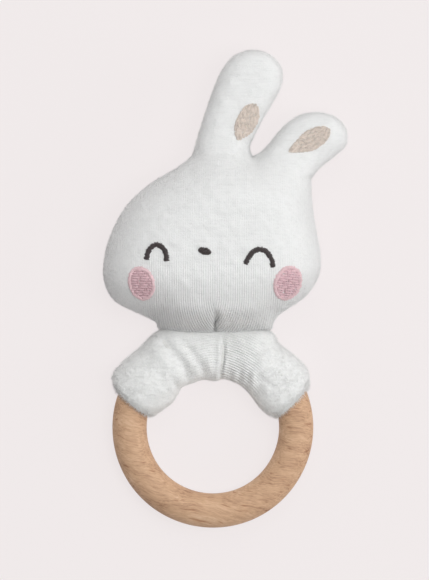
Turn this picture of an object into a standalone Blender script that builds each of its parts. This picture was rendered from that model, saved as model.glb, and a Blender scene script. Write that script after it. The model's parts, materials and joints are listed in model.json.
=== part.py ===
"""A plush rabbit sewn round a wooden teething ring, lying on its back on a table.

Metres, +Z up. The face looks up (+Z), the ears point to +Y and the ring to -Y, and -X is the left as
seen from the front. The origin is the middle of the footprint, on the table. The design sizes below are
in millimetres, in a plan whose zero is the centre of the ring.

The ring turns inside the padded sleeve that the rabbit's arms make round it. The head nods on the seam at
the neck, each ear bends on the seam at its base, and loose beads roll inside a rattle shell in the head.
"""

import math

import bmesh
import bpy
import numpy as np
from mathutils import Matrix, Vector

MM = 0.001

# Fabric and fit
FABRIC = 0.8  # velour
GAP = 0.3  # between pieces that touch
SEAM_GAP = 1.6  # between two stuffed pieces that hinge on a seam
SEAM_END = 2.0  # how far a seam's thread stops short of the seam's ends
THREAD_D = 0.5
EMBROIDERY = 0.8  # height of the stitched features
BAND = 1.0  # height of the upright strip of fabric along a seam
STITCH_RISE = 0.7  # how far the closing stitches reach above and below the seam

# Wooden ring
RING_OUTER_D = 70.0
RING_TUBE_D = 11.4
RING_CLEARANCE = 0.3

# Sleeve: each station joins a point on its inner edge to one on its outer edge, as
# (angle, reach inside the ring's hole, angle, reach beyond the ring's rim).
WADDING_UNDER = 0.4
WADDING_GAP = 0.5  # between the wadding and the sleeve's fabric
SLEEVE_PUFF = 1.3  # how much fuller the front is than the back
SLEEVE_ROUNDNESS = 2.5  # exponent of the section, 2 is an ellipse
SLEEVE_STATIONS = [
    (170, 1.1, 160, 1.7),
    (163, 3.9, 155, 4.6),
    (154, 6.2, 149, 5.4),
    (143, 6.4, 140, 4.0),
    (130, 6.4, 129.5, 3.8),
    (116, 6.3, 118.5, 4.8),
    (103, 6.4, 104, 2.6),
    (90, 6.6, 90, 1.9),
    (77, 6.3, 76, 2.6),
    (64, 6.2, 61.5, 4.8),
    (50, 6.1, 50.5, 2.9),
    (37, 6.3, 40, 3.6),
    (26, 6.2, 31, 4.4),
    (17, 4.2, 26, 3.6),
    (10, 1.1, 22, 1.7),
]
NECK_STATION = 7  # the station in the middle of the neck

# Head: the outline of one panel, clockwise from the left end of the neck, measured from the neck's middle
HEAD_WIDTH = 76.0
HEAD_LENGTH = 57.6
HEAD_OUTLINE = [
    (-19.3, -1.9),
    (-23.8, 0.6),
    (-30.2, 3.6),
    (-35.8, 8.2),
    (-38.0, 15.2),
    (-36.9, 24.0),
    (-33.2, 33.2),
    (-26.8, 41.9),
    (-17.8, 49.2),
    (-7.0, 56.0),
    (0.0, 55.9),
    (7.0, 55.6),
    (14.0, 55.2),
    (20.7, 52.6),
    (27.4, 50.2),
    (33.6, 47.3),
    (34.6, 40.4),
    (35.9, 32.2),
    (37.9, 22.7),
    (37.3, 15.0),
    (33.0, 8.0),
    (26.6, 3.3),
    (21.6, 0.3),
    (19.6, -2.0),
    (10.0, -0.5),
    (0.0, 0.0),
    (-10.0, -0.5),
]
NECK_HALF_WIDTH = 19.3
LEFT_EAR_BASE = (9, 12)  # the outline points that the ear's base joins
RIGHT_EAR_BASE = (12, 15)
HEAD_CENTRE_Y = 23.0  # above the neck, where the panel's rings gather
HEAD_SEAM_Z = 15.5  # height of the side seam above the table
HEAD_TOP_Z = 36.5
NECK_RISE = 20.0  # length over which the side seam climbs from the neck
CHIN_DROP = 7.0  # how far the chin hangs over the neck
CHIN_REACH = 14.0
CHIN_SPREAD = 1.9  # where the chin fades out at the sides, in neck half-widths
NECK_HINGE = 0.65  # where the head hinges in the seam's gap, from the head to the sleeve

# Ears: outlines from the base's first end over the tip to its second, measured from the base's middle
EAR_DEPTH = 6.2
EAR_CORNER = 1.2  # how far the base's corners stop short of the seam's ends
LEFT_EAR = [
    (-7.6, 9.8),
    (-4.7, 19.8),
    (-1.2, 28.2),
    (4.4, 34.8),
    (11.0, 37.0),
    (17.0, 35.0),
    (20.7, 30.6),
    (21.2, 25.2),
    (18.6, 18.8),
    (14.0, 10.6),
]
RIGHT_EAR = [
    (-7.4, 7.6),
    (-4.8, 14.2),
    (-1.2, 18.9),
    (3.8, 22.6),
    (9.8, 23.7),
    (15.2, 21.8),
    (17.8, 18.2),
    (17.8, 13.2),
    (14.6, 7.3),
]

# Stitched features, as places on the plan from the middle of the neck
EYE_STROKE = 1.7
LEFT_EYE = {"at": (-19.5, 20.6), "half_width": 3.5, "rise": 5.2, "turn": 0}
RIGHT_EYE = {"at": (16.5, 19.2), "half_width": 4.7, "rise": 5.2, "turn": -7}
NOSE = {"at": (-3.0, 23.9), "size": (4.8, 2.9), "turn": -10}
LEFT_CHEEK = {"at": (-25.3, 12.9), "size": (9.4, 12.0), "turn": 22}
RIGHT_CHEEK = {"at": (26.3, 13.0), "size": (10.2, 12.6), "turn": -32}
LEFT_PATCH = {"at": (12.0, 69.0), "size": (7.6, 13.0), "turn": -20}
RIGHT_PATCH = {"at": (33.6, 62.6), "size": (7.2, 15.4), "turn": -62}

# Rattle
RATTLE_D = 24.0
RATTLE_WALL = 1.2
RATTLE_Y = 23.0  # above the neck
BEAD_D = 4.6
BEAD_COUNT = 4

RING_OUTER_R = RING_OUTER_D / 2
RING_TUBE_R = RING_TUBE_D / 2
RING_PITCH_R = RING_OUTER_R - RING_TUBE_R
RING_INNER_R = RING_OUTER_R - RING_TUBE_D
CHANNEL_R = RING_TUBE_R + RING_CLEARANCE
SLEEVE_BACK = CHANNEL_R + WADDING_UNDER + WADDING_GAP + FABRIC
CUT_SIZE = 300.0

OBJECTS = {}


# ---------------------------------------------------------------- helpers


def clear_scene():
    for obj in list(bpy.data.objects):
        bpy.data.objects.remove(obj)


def new_collection(name):
    collection = bpy.data.collections.new(name)
    bpy.context.scene.collection.children.link(collection)
    return collection


def make_material(name, colour, roughness):
    material = bpy.data.materials.new(name)
    material.use_nodes = True
    shader = material.node_tree.nodes["Principled BSDF"]
    shader.inputs["Base Color"].default_value = (*colour, 1)
    shader.inputs["Roughness"].default_value = roughness
    shader.inputs["Metallic"].default_value = 0
    return material


def mesh_object(name, points, faces, collection, material=None):
    """An object from points in millimetres."""
    mesh = bpy.data.meshes.new(name)
    mesh.from_pydata([tuple(float(c) * MM for c in p) for p in points], [], faces)
    mesh.update()
    obj = bpy.data.objects.new(name, mesh)
    collection.objects.link(obj)
    if material:
        mesh.materials.append(material)
    return obj


def attach(obj, parent):
    """Parents an object without moving it."""
    bpy.context.view_layer.update()
    obj.parent = parent
    obj.matrix_parent_inverse = parent.matrix_world.inverted()


def new_empty(name, place, parent=None, axis=None):
    """An empty at a place in millimetres, with its X axis along a joint's axis."""
    empty = bpy.data.objects.new(name, None)
    bpy.context.scene.collection.objects.link(empty)
    empty.empty_display_size = 10 * MM
    empty.location = Vector(place) * MM
    if axis is not None:
        empty.rotation_euler = Vector(axis).to_track_quat("X", "Z").to_euler()
    if parent:
        attach(empty, parent)
    bpy.context.view_layer.update()
    return empty


def smooth_step(value):
    t = np.clip(value, 0, 1)
    return t * t * (3 - 2 * t)


def add_solidify(obj, thickness, offset):
    """Gives an open surface a wall: offset -1 puts it inside the surface, and 1 outside."""
    wall = obj.modifiers.new("wall", "SOLIDIFY")
    wall.thickness = thickness * MM
    wall.offset = offset


def add_subdivision(obj, levels=1):
    rounding = obj.modifiers.new("rounding", "SUBSURF")
    rounding.levels = levels
    rounding.render_levels = levels


def add_shift(obj, distance):
    """Moves a surface along its normals: outwards if the distance is positive."""
    shift = obj.modifiers.new("shift", "DISPLACE")
    shift.mid_level = 0
    shift.strength = distance * MM


def add_boolean(obj, other, operation):
    cut = obj.modifiers.new(operation.lower(), "BOOLEAN")
    cut.operation = operation
    cut.object = other


def as_cutter(obj):
    obj.hide_render = True
    obj.display_type = "WIRE"
    return obj


def shade_smooth(obj, angle=40):
    obj.data.shade_smooth()
    obj.data.set_sharp_from_angle(angle=math.radians(angle))


# ---------------------------------------------------------------- shapes


def turned(points, angle):
    a = math.radians(angle)
    turn = np.array([[math.cos(a), math.sin(a)], [-math.sin(a), math.cos(a)]])
    return np.asarray(points, float) @ turn


def pushed_out(outline):
    """Cage points moved away from their neighbours' middle, so that the smoothed rim meets the outline."""
    middle = (np.roll(outline, 1, axis=0) + np.roll(outline, -1, axis=0)) / 2
    return outline + (outline - middle) * 0.35


def ring_cage(rings, closed_bottom):
    """Points and faces of a cage whose rings all have as many points, capped at the last ring."""
    count = len(rings[0])
    points = np.concatenate(rings)
    faces = []
    for level in range(len(rings) - 1):
        low, high = level * count, (level + 1) * count
        for i in range(count):
            j = (i + 1) % count
            faces.append((low + i, low + j, high + j, high + i))
    top = (len(rings) - 1) * count
    faces.append(tuple(range(top, top + count)))
    if closed_bottom:
        faces.append(tuple(reversed(range(count))))
    return points, faces


def facing(faces, side):
    """Faces wound so that a panel on the front (side 1) or the back (side -1) faces outwards.
    The outlines run clockwise, so a front panel's faces are turned over."""
    return [tuple(reversed(f)) for f in faces] if side > 0 else faces


def panel_rings(outline, rim_z, profile, centre, crown_z, side, chin=None):
    """Rings of a stuffed panel: each shrinks towards the centre and rises from the seam to the crown.
    profile holds (inset, lift) pairs, and chin lowers the rings that are near the neck."""
    rings = []
    for level, (inset, lift) in enumerate(profile):
        plan = centre + (outline - centre) * (1 - inset)
        if chin is not None:
            plan = plan - np.outer(chin["weight"] * chin["levels"][level], (0, 1))
        z = rim_z + side * GAP / 2 + (crown_z - rim_z - side * GAP / 2) * lift
        rings.append(np.column_stack([plan, z]))
    return rings


# ---------------------------------------------------------------- sleeve


def station_points():
    """The inner and outer end of each station of the sleeve, in the plan of the ring."""
    inner, outer = [], []
    for angle_in, reach_in, angle_out, reach_out in SLEEVE_STATIONS:
        for points, angle, radius in (
            (inner, angle_in, RING_INNER_R - reach_in),
            (outer, angle_out, RING_OUTER_R + reach_out),
        ):
            a = math.radians(angle)
            points.append((radius * math.cos(a), radius * math.sin(a)))
    return np.array(inner), np.array(outer)


def sleeve_section(inner, outer, height, inset, side):
    """One section of the sleeve from its inner to its outer edge: an upright band at each seam and a
    superellipse between them, all moved in by an inset."""
    middle, half = (inner + outer) / 2, (outer - inner) / 2
    half = half * (1 - inset / np.linalg.norm(half))
    height = height - inset
    angles = np.radians(np.linspace(25, 155, 7))
    power = 2 / SLEEVE_ROUNDNESS
    along = -np.sign(np.cos(angles)) * np.abs(np.cos(angles)) ** power
    lift = np.sin(angles) ** power * height
    along = np.concatenate([[-1, -1], along, [1, 1]])
    lift = np.concatenate([[GAP / 2, BAND], lift, [BAND, GAP / 2]])
    plan = middle + np.outer(along, half)
    return np.column_stack([plan, side * lift])


def sleeve_heights():
    """Height of the front at each station: it swells from the wrists to the middle of each arm."""
    share = np.linspace(0, 1, len(SLEEVE_STATIONS))
    return SLEEVE_BACK + SLEEVE_PUFF * np.sin(math.pi * share) ** 0.5


def sleeve_panel(name, side, collection, material):
    """Front (side 1) or back (side -1) fabric of the sleeve, open at both wrists."""
    inner, outer = station_points()
    heights = sleeve_heights() if side > 0 else np.full(len(inner), SLEEVE_BACK)
    sections = [sleeve_section(*s, 0, side) for s in zip(inner, outer, heights)]
    rows = len(sections[0])
    faces = []
    for i in range(len(sections) - 1):
        for j in range(rows - 1):
            a, b = i * rows + j, (i + 1) * rows + j
            faces.append((a, b, b + 1, a + 1) if side > 0 else (a, a + 1, b + 1, b))
    obj = mesh_object(name, np.concatenate(sections), faces, collection, material)
    add_solidify(obj, FABRIC, -1)
    shade_smooth(obj)
    return obj


def sleeve_wadding(collection, material, ring_cutter):
    """Wadding inside the sleeve, from paw to paw, with a round channel for the ring."""
    inner, outer = station_points()
    heights = sleeve_heights()
    loops = []
    for i in range(1, len(inner) - 1):
        front = sleeve_section(inner[i], outer[i], heights[i], FABRIC + WADDING_GAP, 1)
        back = sleeve_section(inner[i], outer[i], SLEEVE_BACK, FABRIC + WADDING_GAP, -1)
        loops.append(np.concatenate([front[1:-1], back[-2:0:-1]]))
    points, faces = ring_cage(loops, closed_bottom=True)
    obj = mesh_object("sleeve_wadding", points, faces, collection, material)
    bm = bmesh.new()
    bm.from_mesh(obj.data)
    bmesh.ops.recalc_face_normals(bm, faces=bm.faces)
    bm.to_mesh(obj.data)
    bm.free()
    add_boolean(obj, ring_cutter, "DIFFERENCE")
    return obj


def table_tilt():
    """How far the ring's plane leans, so that the ring and the sleeve's back both touch the table."""
    inner, outer = station_points()
    back = [sleeve_section(*s, SLEEVE_BACK, 0, -1) for s in zip(inner, outer)]
    points = np.concatenate(back)
    rise = -points[:, 2] - RING_TUBE_R
    return math.asin((rise / (RING_PITCH_R + points[:, 1])).max())


def torus(name, tube_radius, collection, material=None):
    bpy.ops.mesh.primitive_torus_add(
        major_radius=RING_PITCH_R * MM,
        minor_radius=tube_radius * MM,
        major_segments=48,
        minor_segments=14,
    )
    obj = bpy.context.object
    obj.name = name
    for owner in list(obj.users_collection):
        owner.objects.unlink(obj)
    collection.objects.link(obj)
    if material:
        obj.data.materials.append(material)
    shade_smooth(obj, 60)
    return obj


def thread(name, points, collection, material):
    """A sewing thread as a tube through points in millimetres."""
    data = bpy.data.curves.new(name, "CURVE")
    data.dimensions = "3D"
    data.bevel_depth = THREAD_D / 2 * MM
    data.bevel_resolution = 1
    data.use_fill_caps = True
    spline = data.splines.new("POLY")
    spline.points.add(len(points) - 1)
    for point, place in zip(spline.points, points):
        point.co = (*(Vector(place) * MM), 1)
    obj = bpy.data.objects.new(name, data)
    data.materials.append(material)
    collection.objects.link(obj)
    return obj


def closing_thread_points():
    """Zigzag of the stitches that close the sleeve along its inner edge."""
    inner, _ = station_points()
    inner = inner[2:-2]
    lift_off = GAP + THREAD_D / 2
    points = []
    for start, end in zip(inner[:-1], inner[1:]):
        for share, rise, clearance in ((0, STITCH_RISE, lift_off), (0.5, -STITCH_RISE, lift_off + GAP)):
            place = start + (end - start) * share
            inward = -place / np.linalg.norm(place)
            points.append((*(place + inward * clearance), rise))
    return points


# ---------------------------------------------------------------- head and ears


def head_plan(neck):
    """The head's outline, scaled to the head's width and length, placed on the neck."""
    shape = np.array(HEAD_OUTLINE)
    own_width = np.ptp(shape[:, 0])
    own_length = np.ptp(shape[:, 1])
    scale = np.array([HEAD_WIDTH / own_width, HEAD_LENGTH / own_length])
    return shape * scale + neck[:2]


HEAD_FRONT_PROFILE = [(0, 0), (0, 0.2), (0.1, 0.66), (0.42, 1.0)]
HEAD_BACK_PROFILE = [(0, 0), (0, 0.3), (0.14, 0.86), (0.4, 1.0), (0.62, 1.0)]
CHIN_LEVELS = [0, 0.25, 1.0, 0.3]
EAR_PROFILE = [(0, 0), (0, 0.2), (0.05, 0.66), (0.42, 1.06)]


def head_rim(outline, neck):
    """Height of the side seam at each outline point: it climbs from the neck to the ears."""
    climb = smooth_step((outline[:, 1] - neck[1]) / NECK_RISE)
    return neck[2] + (HEAD_SEAM_Z - neck[2]) * climb


def head_rings(neck, side):
    plan = head_plan(neck)
    outline = pushed_out(plan)
    rim = head_rim(plan, neck)
    centre = np.array([neck[0], neck[1] + HEAD_CENTRE_Y])
    if side < 0:
        return panel_rings(outline, rim, HEAD_BACK_PROFILE, centre, 0, -1)
    near_neck = 1 - np.clip((plan[:, 1] - neck[1]) / CHIN_REACH, 0, 1)
    inside_neck = np.clip(CHIN_SPREAD - np.abs(plan[:, 0]) / NECK_HALF_WIDTH, 0, 1)
    chin = {"weight": CHIN_DROP * near_neck * inside_neck, "levels": CHIN_LEVELS}
    return panel_rings(outline, rim, HEAD_FRONT_PROFILE, centre, HEAD_TOP_Z, 1, chin)


def stuffed_panel(name, rings, side, collection, material):
    """Fabric panel over a stuffed form, as an open cage with a wall inside it."""
    points, faces = ring_cage(rings, closed_bottom=False)
    obj = mesh_object(name, points, facing(faces, side), collection, material)
    add_subdivision(obj)
    add_solidify(obj, FABRIC, -1)
    shade_smooth(obj)
    return obj


def filling_form(name, front, back, collection, material=None):
    """The closed form inside a front and a back panel, one fabric and one gap smaller."""
    rings = list(reversed(back)) + front[1:]
    seam = len(back) - 1
    rings[seam] = (front[0] + back[0]) / 2
    points, faces = ring_cage(rings, closed_bottom=True)
    obj = mesh_object(name, points, facing(faces, 1), collection, material)
    add_subdivision(obj)
    add_shift(obj, -(FABRIC + GAP))
    shade_smooth(obj)
    return obj


def cutting_box(name, low, high, collection):
    """A cutter between two corners in millimetres."""
    bm = bmesh.new()
    bmesh.ops.create_cube(bm, size=1)
    low, high = Vector(low), Vector(high)
    for vert in bm.verts:
        vert.co = Vector(
            (low[k] + (vert.co[k] + 0.5) * (high[k] - low[k])) * MM for k in range(3)
        )
    mesh = bpy.data.meshes.new(name)
    bm.to_mesh(mesh)
    bm.free()
    obj = bpy.data.objects.new(name, mesh)
    collection.objects.link(obj)
    return as_cutter(obj)


def ear_outline(shape, base_a, base_b):
    """The ear's outline in plan, from its base's ends, with the base moved off the head's seam."""
    middle, along = (base_a + base_b) / 2, base_b - base_a
    along = along / np.linalg.norm(along)
    out = np.array([-along[1], along[0]])
    body = middle + np.outer(np.array(shape)[:, 0], along) + np.outer(np.array(shape)[:, 1], out)
    lift = out * SEAM_GAP
    half = np.linalg.norm(base_b - base_a) / 2
    end = half - EAR_CORNER
    base = [middle + along * x for x in (end, half / 3, -half / 3, -end)]
    return np.concatenate([body, np.array(base) + lift])


def ear_rings(outline, side):
    tips = pushed_out(outline)
    tips[-4:] = outline[-4:]
    centre = outline.mean(axis=0)
    rim = np.full(len(outline), HEAD_SEAM_Z)
    return panel_rings(tips, rim, EAR_PROFILE, centre, HEAD_SEAM_Z + side * EAR_DEPTH, side)


# ---------------------------------------------------------------- stitched features


def ellipse_outline(size, count=16):
    angles = np.linspace(0, 2 * math.pi, count, endpoint=False)
    return np.column_stack([np.cos(angles) * size[0] / 2, np.sin(angles) * size[1] / 2])


def leaf_outline(size, count=16):
    """A pointed leaf with its tip down and a blunt top."""
    angles = np.linspace(0, 2 * math.pi, count, endpoint=False) - math.pi / 2
    height = np.sin(angles)
    width = np.cos(angles) * (0.62 + 0.38 * smooth_step((height + 1) / 1.1))
    return np.column_stack([width * size[0] / 2, height * size[1] / 2])


def arch_outline(half_width, rise, stroke, count=9):
    """A band along an arch, from one foot over the top to the other and back inside."""
    angles = np.linspace(math.pi * 1.04, -math.pi * 0.04, count)
    middle = np.column_stack([np.cos(angles) * half_width, np.sin(angles) * rise])
    away = np.column_stack([np.cos(angles) * rise, np.sin(angles) * half_width])
    away = away / np.linalg.norm(away, axis=1)[:, None] * stroke / 2
    return np.concatenate([middle + away, (middle - away)[::-1]])


def prism_cutter(name, outline, place, collection):
    """An upright prism over a flat outline, made as a filled 2D curve and turned into a mesh."""
    data = bpy.data.curves.new(name, "CURVE")
    data.dimensions = "2D"
    data.fill_mode = "BOTH"
    data.extrude = 40 * MM
    spline = data.splines.new("POLY")
    spline.use_cyclic_u = True
    spline.points.add(len(outline) - 1)
    for point, (x, y) in zip(spline.points, outline):
        point.co = ((x + place[0]) * MM, (y + place[1]) * MM, 0, 1)
    curve = bpy.data.objects.new(name, data)
    collection.objects.link(curve)
    bpy.context.view_layer.update()
    graph = bpy.context.evaluated_depsgraph_get()
    mesh = bpy.data.meshes.new_from_object(curve.evaluated_get(graph))
    bpy.data.objects.remove(curve)
    bm = bmesh.new()
    bm.from_mesh(mesh)
    bmesh.ops.remove_doubles(bm, verts=bm.verts, dist=1e-6)
    bmesh.ops.recalc_face_normals(bm, faces=bm.faces)
    bm.to_mesh(mesh)
    bm.free()
    obj = bpy.data.objects.new(name, mesh)
    collection.objects.link(obj)
    return as_cutter(obj)


def stitched(name, rings, outline, place, collection, cutters, material):
    """Embroidery: the part of a layer just off the fabric that lies under an outline."""
    points, faces = ring_cage(rings, closed_bottom=False)
    obj = mesh_object(name, points, facing(faces, 1), collection, material)
    add_subdivision(obj)
    add_shift(obj, GAP)
    add_solidify(obj, EMBROIDERY, 1)
    add_boolean(obj, prism_cutter(name + "_outline", outline, place, cutters), "INTERSECT")
    return obj


# ---------------------------------------------------------------- rattle


def rattle_half(name, centre, side, collection, material):
    """One cup of the rattle shell, turned about Z from its section."""
    outer, inner = RATTLE_D / 2, RATTLE_D / 2 - RATTLE_WALL
    rise = GAP / 2
    steps = 5
    low_out, low_in = math.asin(rise / outer), math.asin(rise / inner)
    outside = [low_out + (math.pi / 2 - low_out) * i / steps for i in range(steps + 1)]
    inside = [low_in + (math.pi / 2 - low_in) * i / steps for i in range(steps + 1)]
    profile = [(outer * math.cos(a), outer * math.sin(a)) for a in reversed(outside)]
    profile += [(inner * math.cos(a), inner * math.sin(a)) for a in inside]
    profile[0] = (0, outer)
    profile[-1] = (0, inner)
    points = [(r, 0, z) for r, z in profile]
    mesh = bpy.data.meshes.new(name)
    edges = [(i, i + 1) for i in range(len(points) - 1)]
    mesh.from_pydata([tuple(c * MM for c in p) for p in points], edges, [])
    obj = bpy.data.objects.new(name, mesh)
    mesh.materials.append(material)
    collection.objects.link(obj)
    screw = obj.modifiers.new("turning", "SCREW")
    screw.steps = screw.render_steps = 20
    screw.use_merge_vertices = True
    screw.merge_threshold = 0.00001
    obj.location = Vector(centre) * MM
    if side < 0:
        obj.rotation_euler = (math.pi, 0, 0)
    return obj


def bead(name, place, collection, material):
    bm = bmesh.new()
    bmesh.ops.create_uvsphere(bm, u_segments=10, v_segments=6, radius=BEAD_D / 2 * MM)
    mesh = bpy.data.meshes.new(name)
    bm.to_mesh(mesh)
    bm.free()
    obj = bpy.data.objects.new(name, mesh)
    mesh.materials.append(material)
    mesh.shade_smooth()
    collection.objects.link(obj)
    obj.location = Vector(place) * MM
    return obj


def bead_places(centre):
    """The beads lie side by side in a ring at the bottom of the shell."""
    spacing = BEAD_D + GAP
    ring = spacing / (2 * math.sin(math.pi / BEAD_COUNT))
    reach = RATTLE_D / 2 - RATTLE_WALL - GAP - BEAD_D / 2
    depth = math.sqrt(reach**2 - ring**2)
    angles = [2 * math.pi * (i + 0.5) / BEAD_COUNT for i in range(BEAD_COUNT)]
    return [
        (centre[0] + ring * math.cos(a), centre[1] + ring * math.sin(a), centre[2] - depth)
        for a in angles
    ]


# ---------------------------------------------------------------- assembly


def build():
    clear_scene()
    parts = new_collection("teething_ring")
    cutters = new_collection("cutters")
    velour = make_material("velour", (0.86, 0.87, 0.86), 0.95)
    fibre = make_material("fibre", (0.92, 0.92, 0.9), 1.0)
    beech = make_material("beech", (0.72, 0.47, 0.29), 0.55)
    brown = make_material("brown_thread", (0.055, 0.035, 0.032), 0.6)
    pink = make_material("pink_thread", (0.72, 0.36, 0.40), 0.6)
    beige = make_material("beige_thread", (0.66, 0.53, 0.45), 0.7)
    white = make_material("white_thread", (0.85, 0.85, 0.83), 0.7)
    plastic = make_material("rattle_plastic", (0.9, 0.9, 0.88), 0.4)
    bead_plastic = make_material("bead_plastic", (0.75, 0.78, 0.8), 0.35)

    root = new_empty("teether", (0, 0, 0))
    tilt = table_tilt()
    ring_height = RING_TUBE_R + RING_PITCH_R * math.sin(tilt)
    plane = new_empty("ring_plane", (0, 0, ring_height), root)
    plane.matrix_world = Matrix.Translation((0, 0, ring_height * MM)) @ Matrix.Rotation(tilt, 4, "X")
    bpy.context.view_layer.update()
    new_empty("ring_axis", (0, 0, ring_height), root, (0, -math.sin(tilt), math.cos(tilt)))

    def on_plane(x, y, z=0.0):
        """A point of the ring's plan, in the table's frame."""
        return np.array(plane.matrix_world @ (Vector((x, y, z)) * MM)) / MM

    # Ring and sleeve, modelled in the ring's own plane
    ring = torus("wooden_ring", RING_TUBE_R, parts, beech)
    channel = as_cutter(torus("ring_channel", CHANNEL_R, cutters))
    sleeve = [
        ring,
        channel,
        sleeve_panel("sleeve_front", 1, parts, velour),
        sleeve_panel("sleeve_back", -1, parts, velour),
        sleeve_wadding(parts, fibre, channel),
        thread("closing_thread", closing_thread_points(), parts, white),
    ]
    for obj in sleeve:
        obj.parent = plane

    # Head, modelled in the table's frame
    _, outer = station_points()
    top = outer[NECK_STATION]
    neck = on_plane(top[0], top[1]) + (0, SEAM_GAP, 0)
    hinge = neck - (0, SEAM_GAP * NECK_HINGE, 0)
    neck_axis = new_empty("neck_axis", hinge, root, (1, 0, 0))
    front, back = head_rings(neck, 1), head_rings(neck, -1)
    head = [
        stuffed_panel("head_front", front, 1, parts, velour),
        stuffed_panel("head_back", back, -1, parts, velour),
    ]
    rattle_centre = (neck[0], neck[1] + RATTLE_Y, HEAD_SEAM_Z)
    pocket = round_cutter("rattle_pocket", rattle_centre, RATTLE_D / 2 + GAP, cutters)
    reach = CUT_SIZE / 2
    above = cutting_box(
        "above_split", (-reach, -reach, HEAD_SEAM_Z - GAP / 2), (reach, reach, reach), cutters
    )
    below = cutting_box(
        "below_split", (-reach, -reach, -reach), (reach, reach, HEAD_SEAM_Z + GAP / 2), cutters
    )
    for name, cut in (("head_filling_front", below), ("head_filling_back", above)):
        filling = filling_form(name, front, back, parts, fibre)
        add_boolean(filling, cut, "DIFFERENCE")
        add_boolean(filling, pocket, "DIFFERENCE")
        head.append(filling)
    for name, eye in (("eye_left", LEFT_EYE), ("eye_right", RIGHT_EYE)):
        outline = turned(arch_outline(eye["half_width"], eye["rise"], EYE_STROKE), eye["turn"])
        head.append(stitched(name, front, outline, neck[:2] + eye["at"], parts, cutters, brown))
    for name, spot, material in (
        ("nose", NOSE, brown),
        ("cheek_left", LEFT_CHEEK, pink),
        ("cheek_right", RIGHT_CHEEK, pink),
    ):
        outline = turned(ellipse_outline(spot["size"]), spot["turn"])
        head.append(stitched(name, front, outline, neck[:2] + spot["at"], parts, cutters, material))
    head.append(rattle_half("rattle_shell_front", rattle_centre, 1, parts, plastic))
    head.append(rattle_half("rattle_shell_back", rattle_centre, -1, parts, plastic))

    # Ears, each on the seam along its base
    plan = head_plan(neck)
    for side_name, shape, ends, patch in (
        ("left", LEFT_EAR, LEFT_EAR_BASE, LEFT_PATCH),
        ("right", RIGHT_EAR, RIGHT_EAR_BASE, RIGHT_PATCH),
    ):
        base_a, base_b = plan[ends[0]], plan[ends[1]]
        along = (base_b - base_a) / np.linalg.norm(base_b - base_a)
        out = np.array([-along[1], along[0]])
        seam = (base_a + base_b) / 2 + out * SEAM_GAP / 2
        axis = new_empty(
            f"ear_{side_name}_axis", (*seam, HEAD_SEAM_Z), neck_axis, (*along, 0)
        )
        outline = ear_outline(shape, base_a, base_b)
        ear_front, ear_back = ear_rings(outline, 1), ear_rings(outline, -1)
        leaf = turned(leaf_outline(patch["size"]), patch["turn"])
        name = f"ear_{side_name}"
        pieces = [
            stuffed_panel(f"{name}_front", ear_front, 1, parts, velour),
            stuffed_panel(f"{name}_back", ear_back, -1, parts, velour),
            filling_form(f"{name}_filling", ear_front, ear_back, parts, fibre),
            stitched(f"{name}_patch", ear_front, leaf, neck[:2] + patch["at"], parts, cutters, beige),
        ]
        for obj in pieces:
            attach(obj, axis)
        half = np.linalg.norm(base_b - base_a) / 2 - SEAM_END
        ends_of_thread = [(*(seam + along * x), HEAD_SEAM_Z) for x in (-half, 0, half)]
        head.append(thread(f"{name}_thread", ends_of_thread, parts, white))
    for obj in head:
        attach(obj, neck_axis)

    # Thread of the neck's seam, between the sleeve and the head
    fall = neck[1] - plan[0][1]
    neck_half = NECK_HALF_WIDTH - SEAM_END
    shares = np.linspace(-1, 1, 9)
    stitches = [
        (x * neck_half, neck[1] - SEAM_GAP / 2 - fall * (x * neck_half / NECK_HALF_WIDTH) ** 2, neck[2])
        for x in shares
    ]
    attach(thread("neck_thread", stitches, parts, white), root)

    # Beads, rolling about the shell's centre
    bead_axis = new_empty("bead_axis", rattle_centre, neck_axis, (0, 1, 0))
    for i, place in enumerate(bead_places(rattle_centre)):
        attach(bead(f"bead_{i + 1}", place, parts, bead_plastic), bead_axis)

    for cutter in (pocket, above, below):
        attach(cutter, root)
    for cutter in cutters.objects:
        if cutter.parent is None:
            attach(cutter, root)
    seat_on_origin(parts, root)


def round_cutter(name, centre, radius, collection):
    """A faceted ball whose faces, not its corners, keep the radius."""
    around, down = 20, 10
    flats = math.cos(math.pi / around) * math.cos(math.pi / 2 / down)
    bm = bmesh.new()
    bmesh.ops.create_uvsphere(bm, u_segments=around, v_segments=down, radius=radius / flats * MM)
    mesh = bpy.data.meshes.new(name)
    bm.to_mesh(mesh)
    bm.free()
    obj = bpy.data.objects.new(name, mesh)
    collection.objects.link(obj)
    obj.location = Vector(centre) * MM
    return as_cutter(obj)


def seat_on_origin(parts, root):
    """Moves the whole part so that the middle of its footprint is the origin, on the table."""
    bpy.context.view_layer.update()
    graph = bpy.context.evaluated_depsgraph_get()
    points = []
    for obj in parts.objects:
        shape = obj.evaluated_get(graph)
        points += [shape.matrix_world @ vert.co for vert in shape.to_mesh().vertices]
        shape.to_mesh_clear()
    low, high = np.min(points, axis=0), np.max(points, axis=0)
    root.location = (-(low[0] + high[0]) / 2, -(low[1] + high[1]) / 2, -low[2])
    bpy.context.view_layer.update()


build()
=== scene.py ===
"""Looks of a plush rabbit that hugs a wooden teething ring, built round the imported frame.

Plan sizes are in millimetres from the middle of the ring, x to the right and y towards the ears; heights
are in millimetres above the table. Every finished piece is in metres, in the frame's own axes.
"""

import json
import math

import bmesh
import bpy
import numpy as np
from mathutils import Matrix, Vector
from mathutils.bvhtree import BVHTree
from mathutils.geometry import delaunay_2d_cdt


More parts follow.
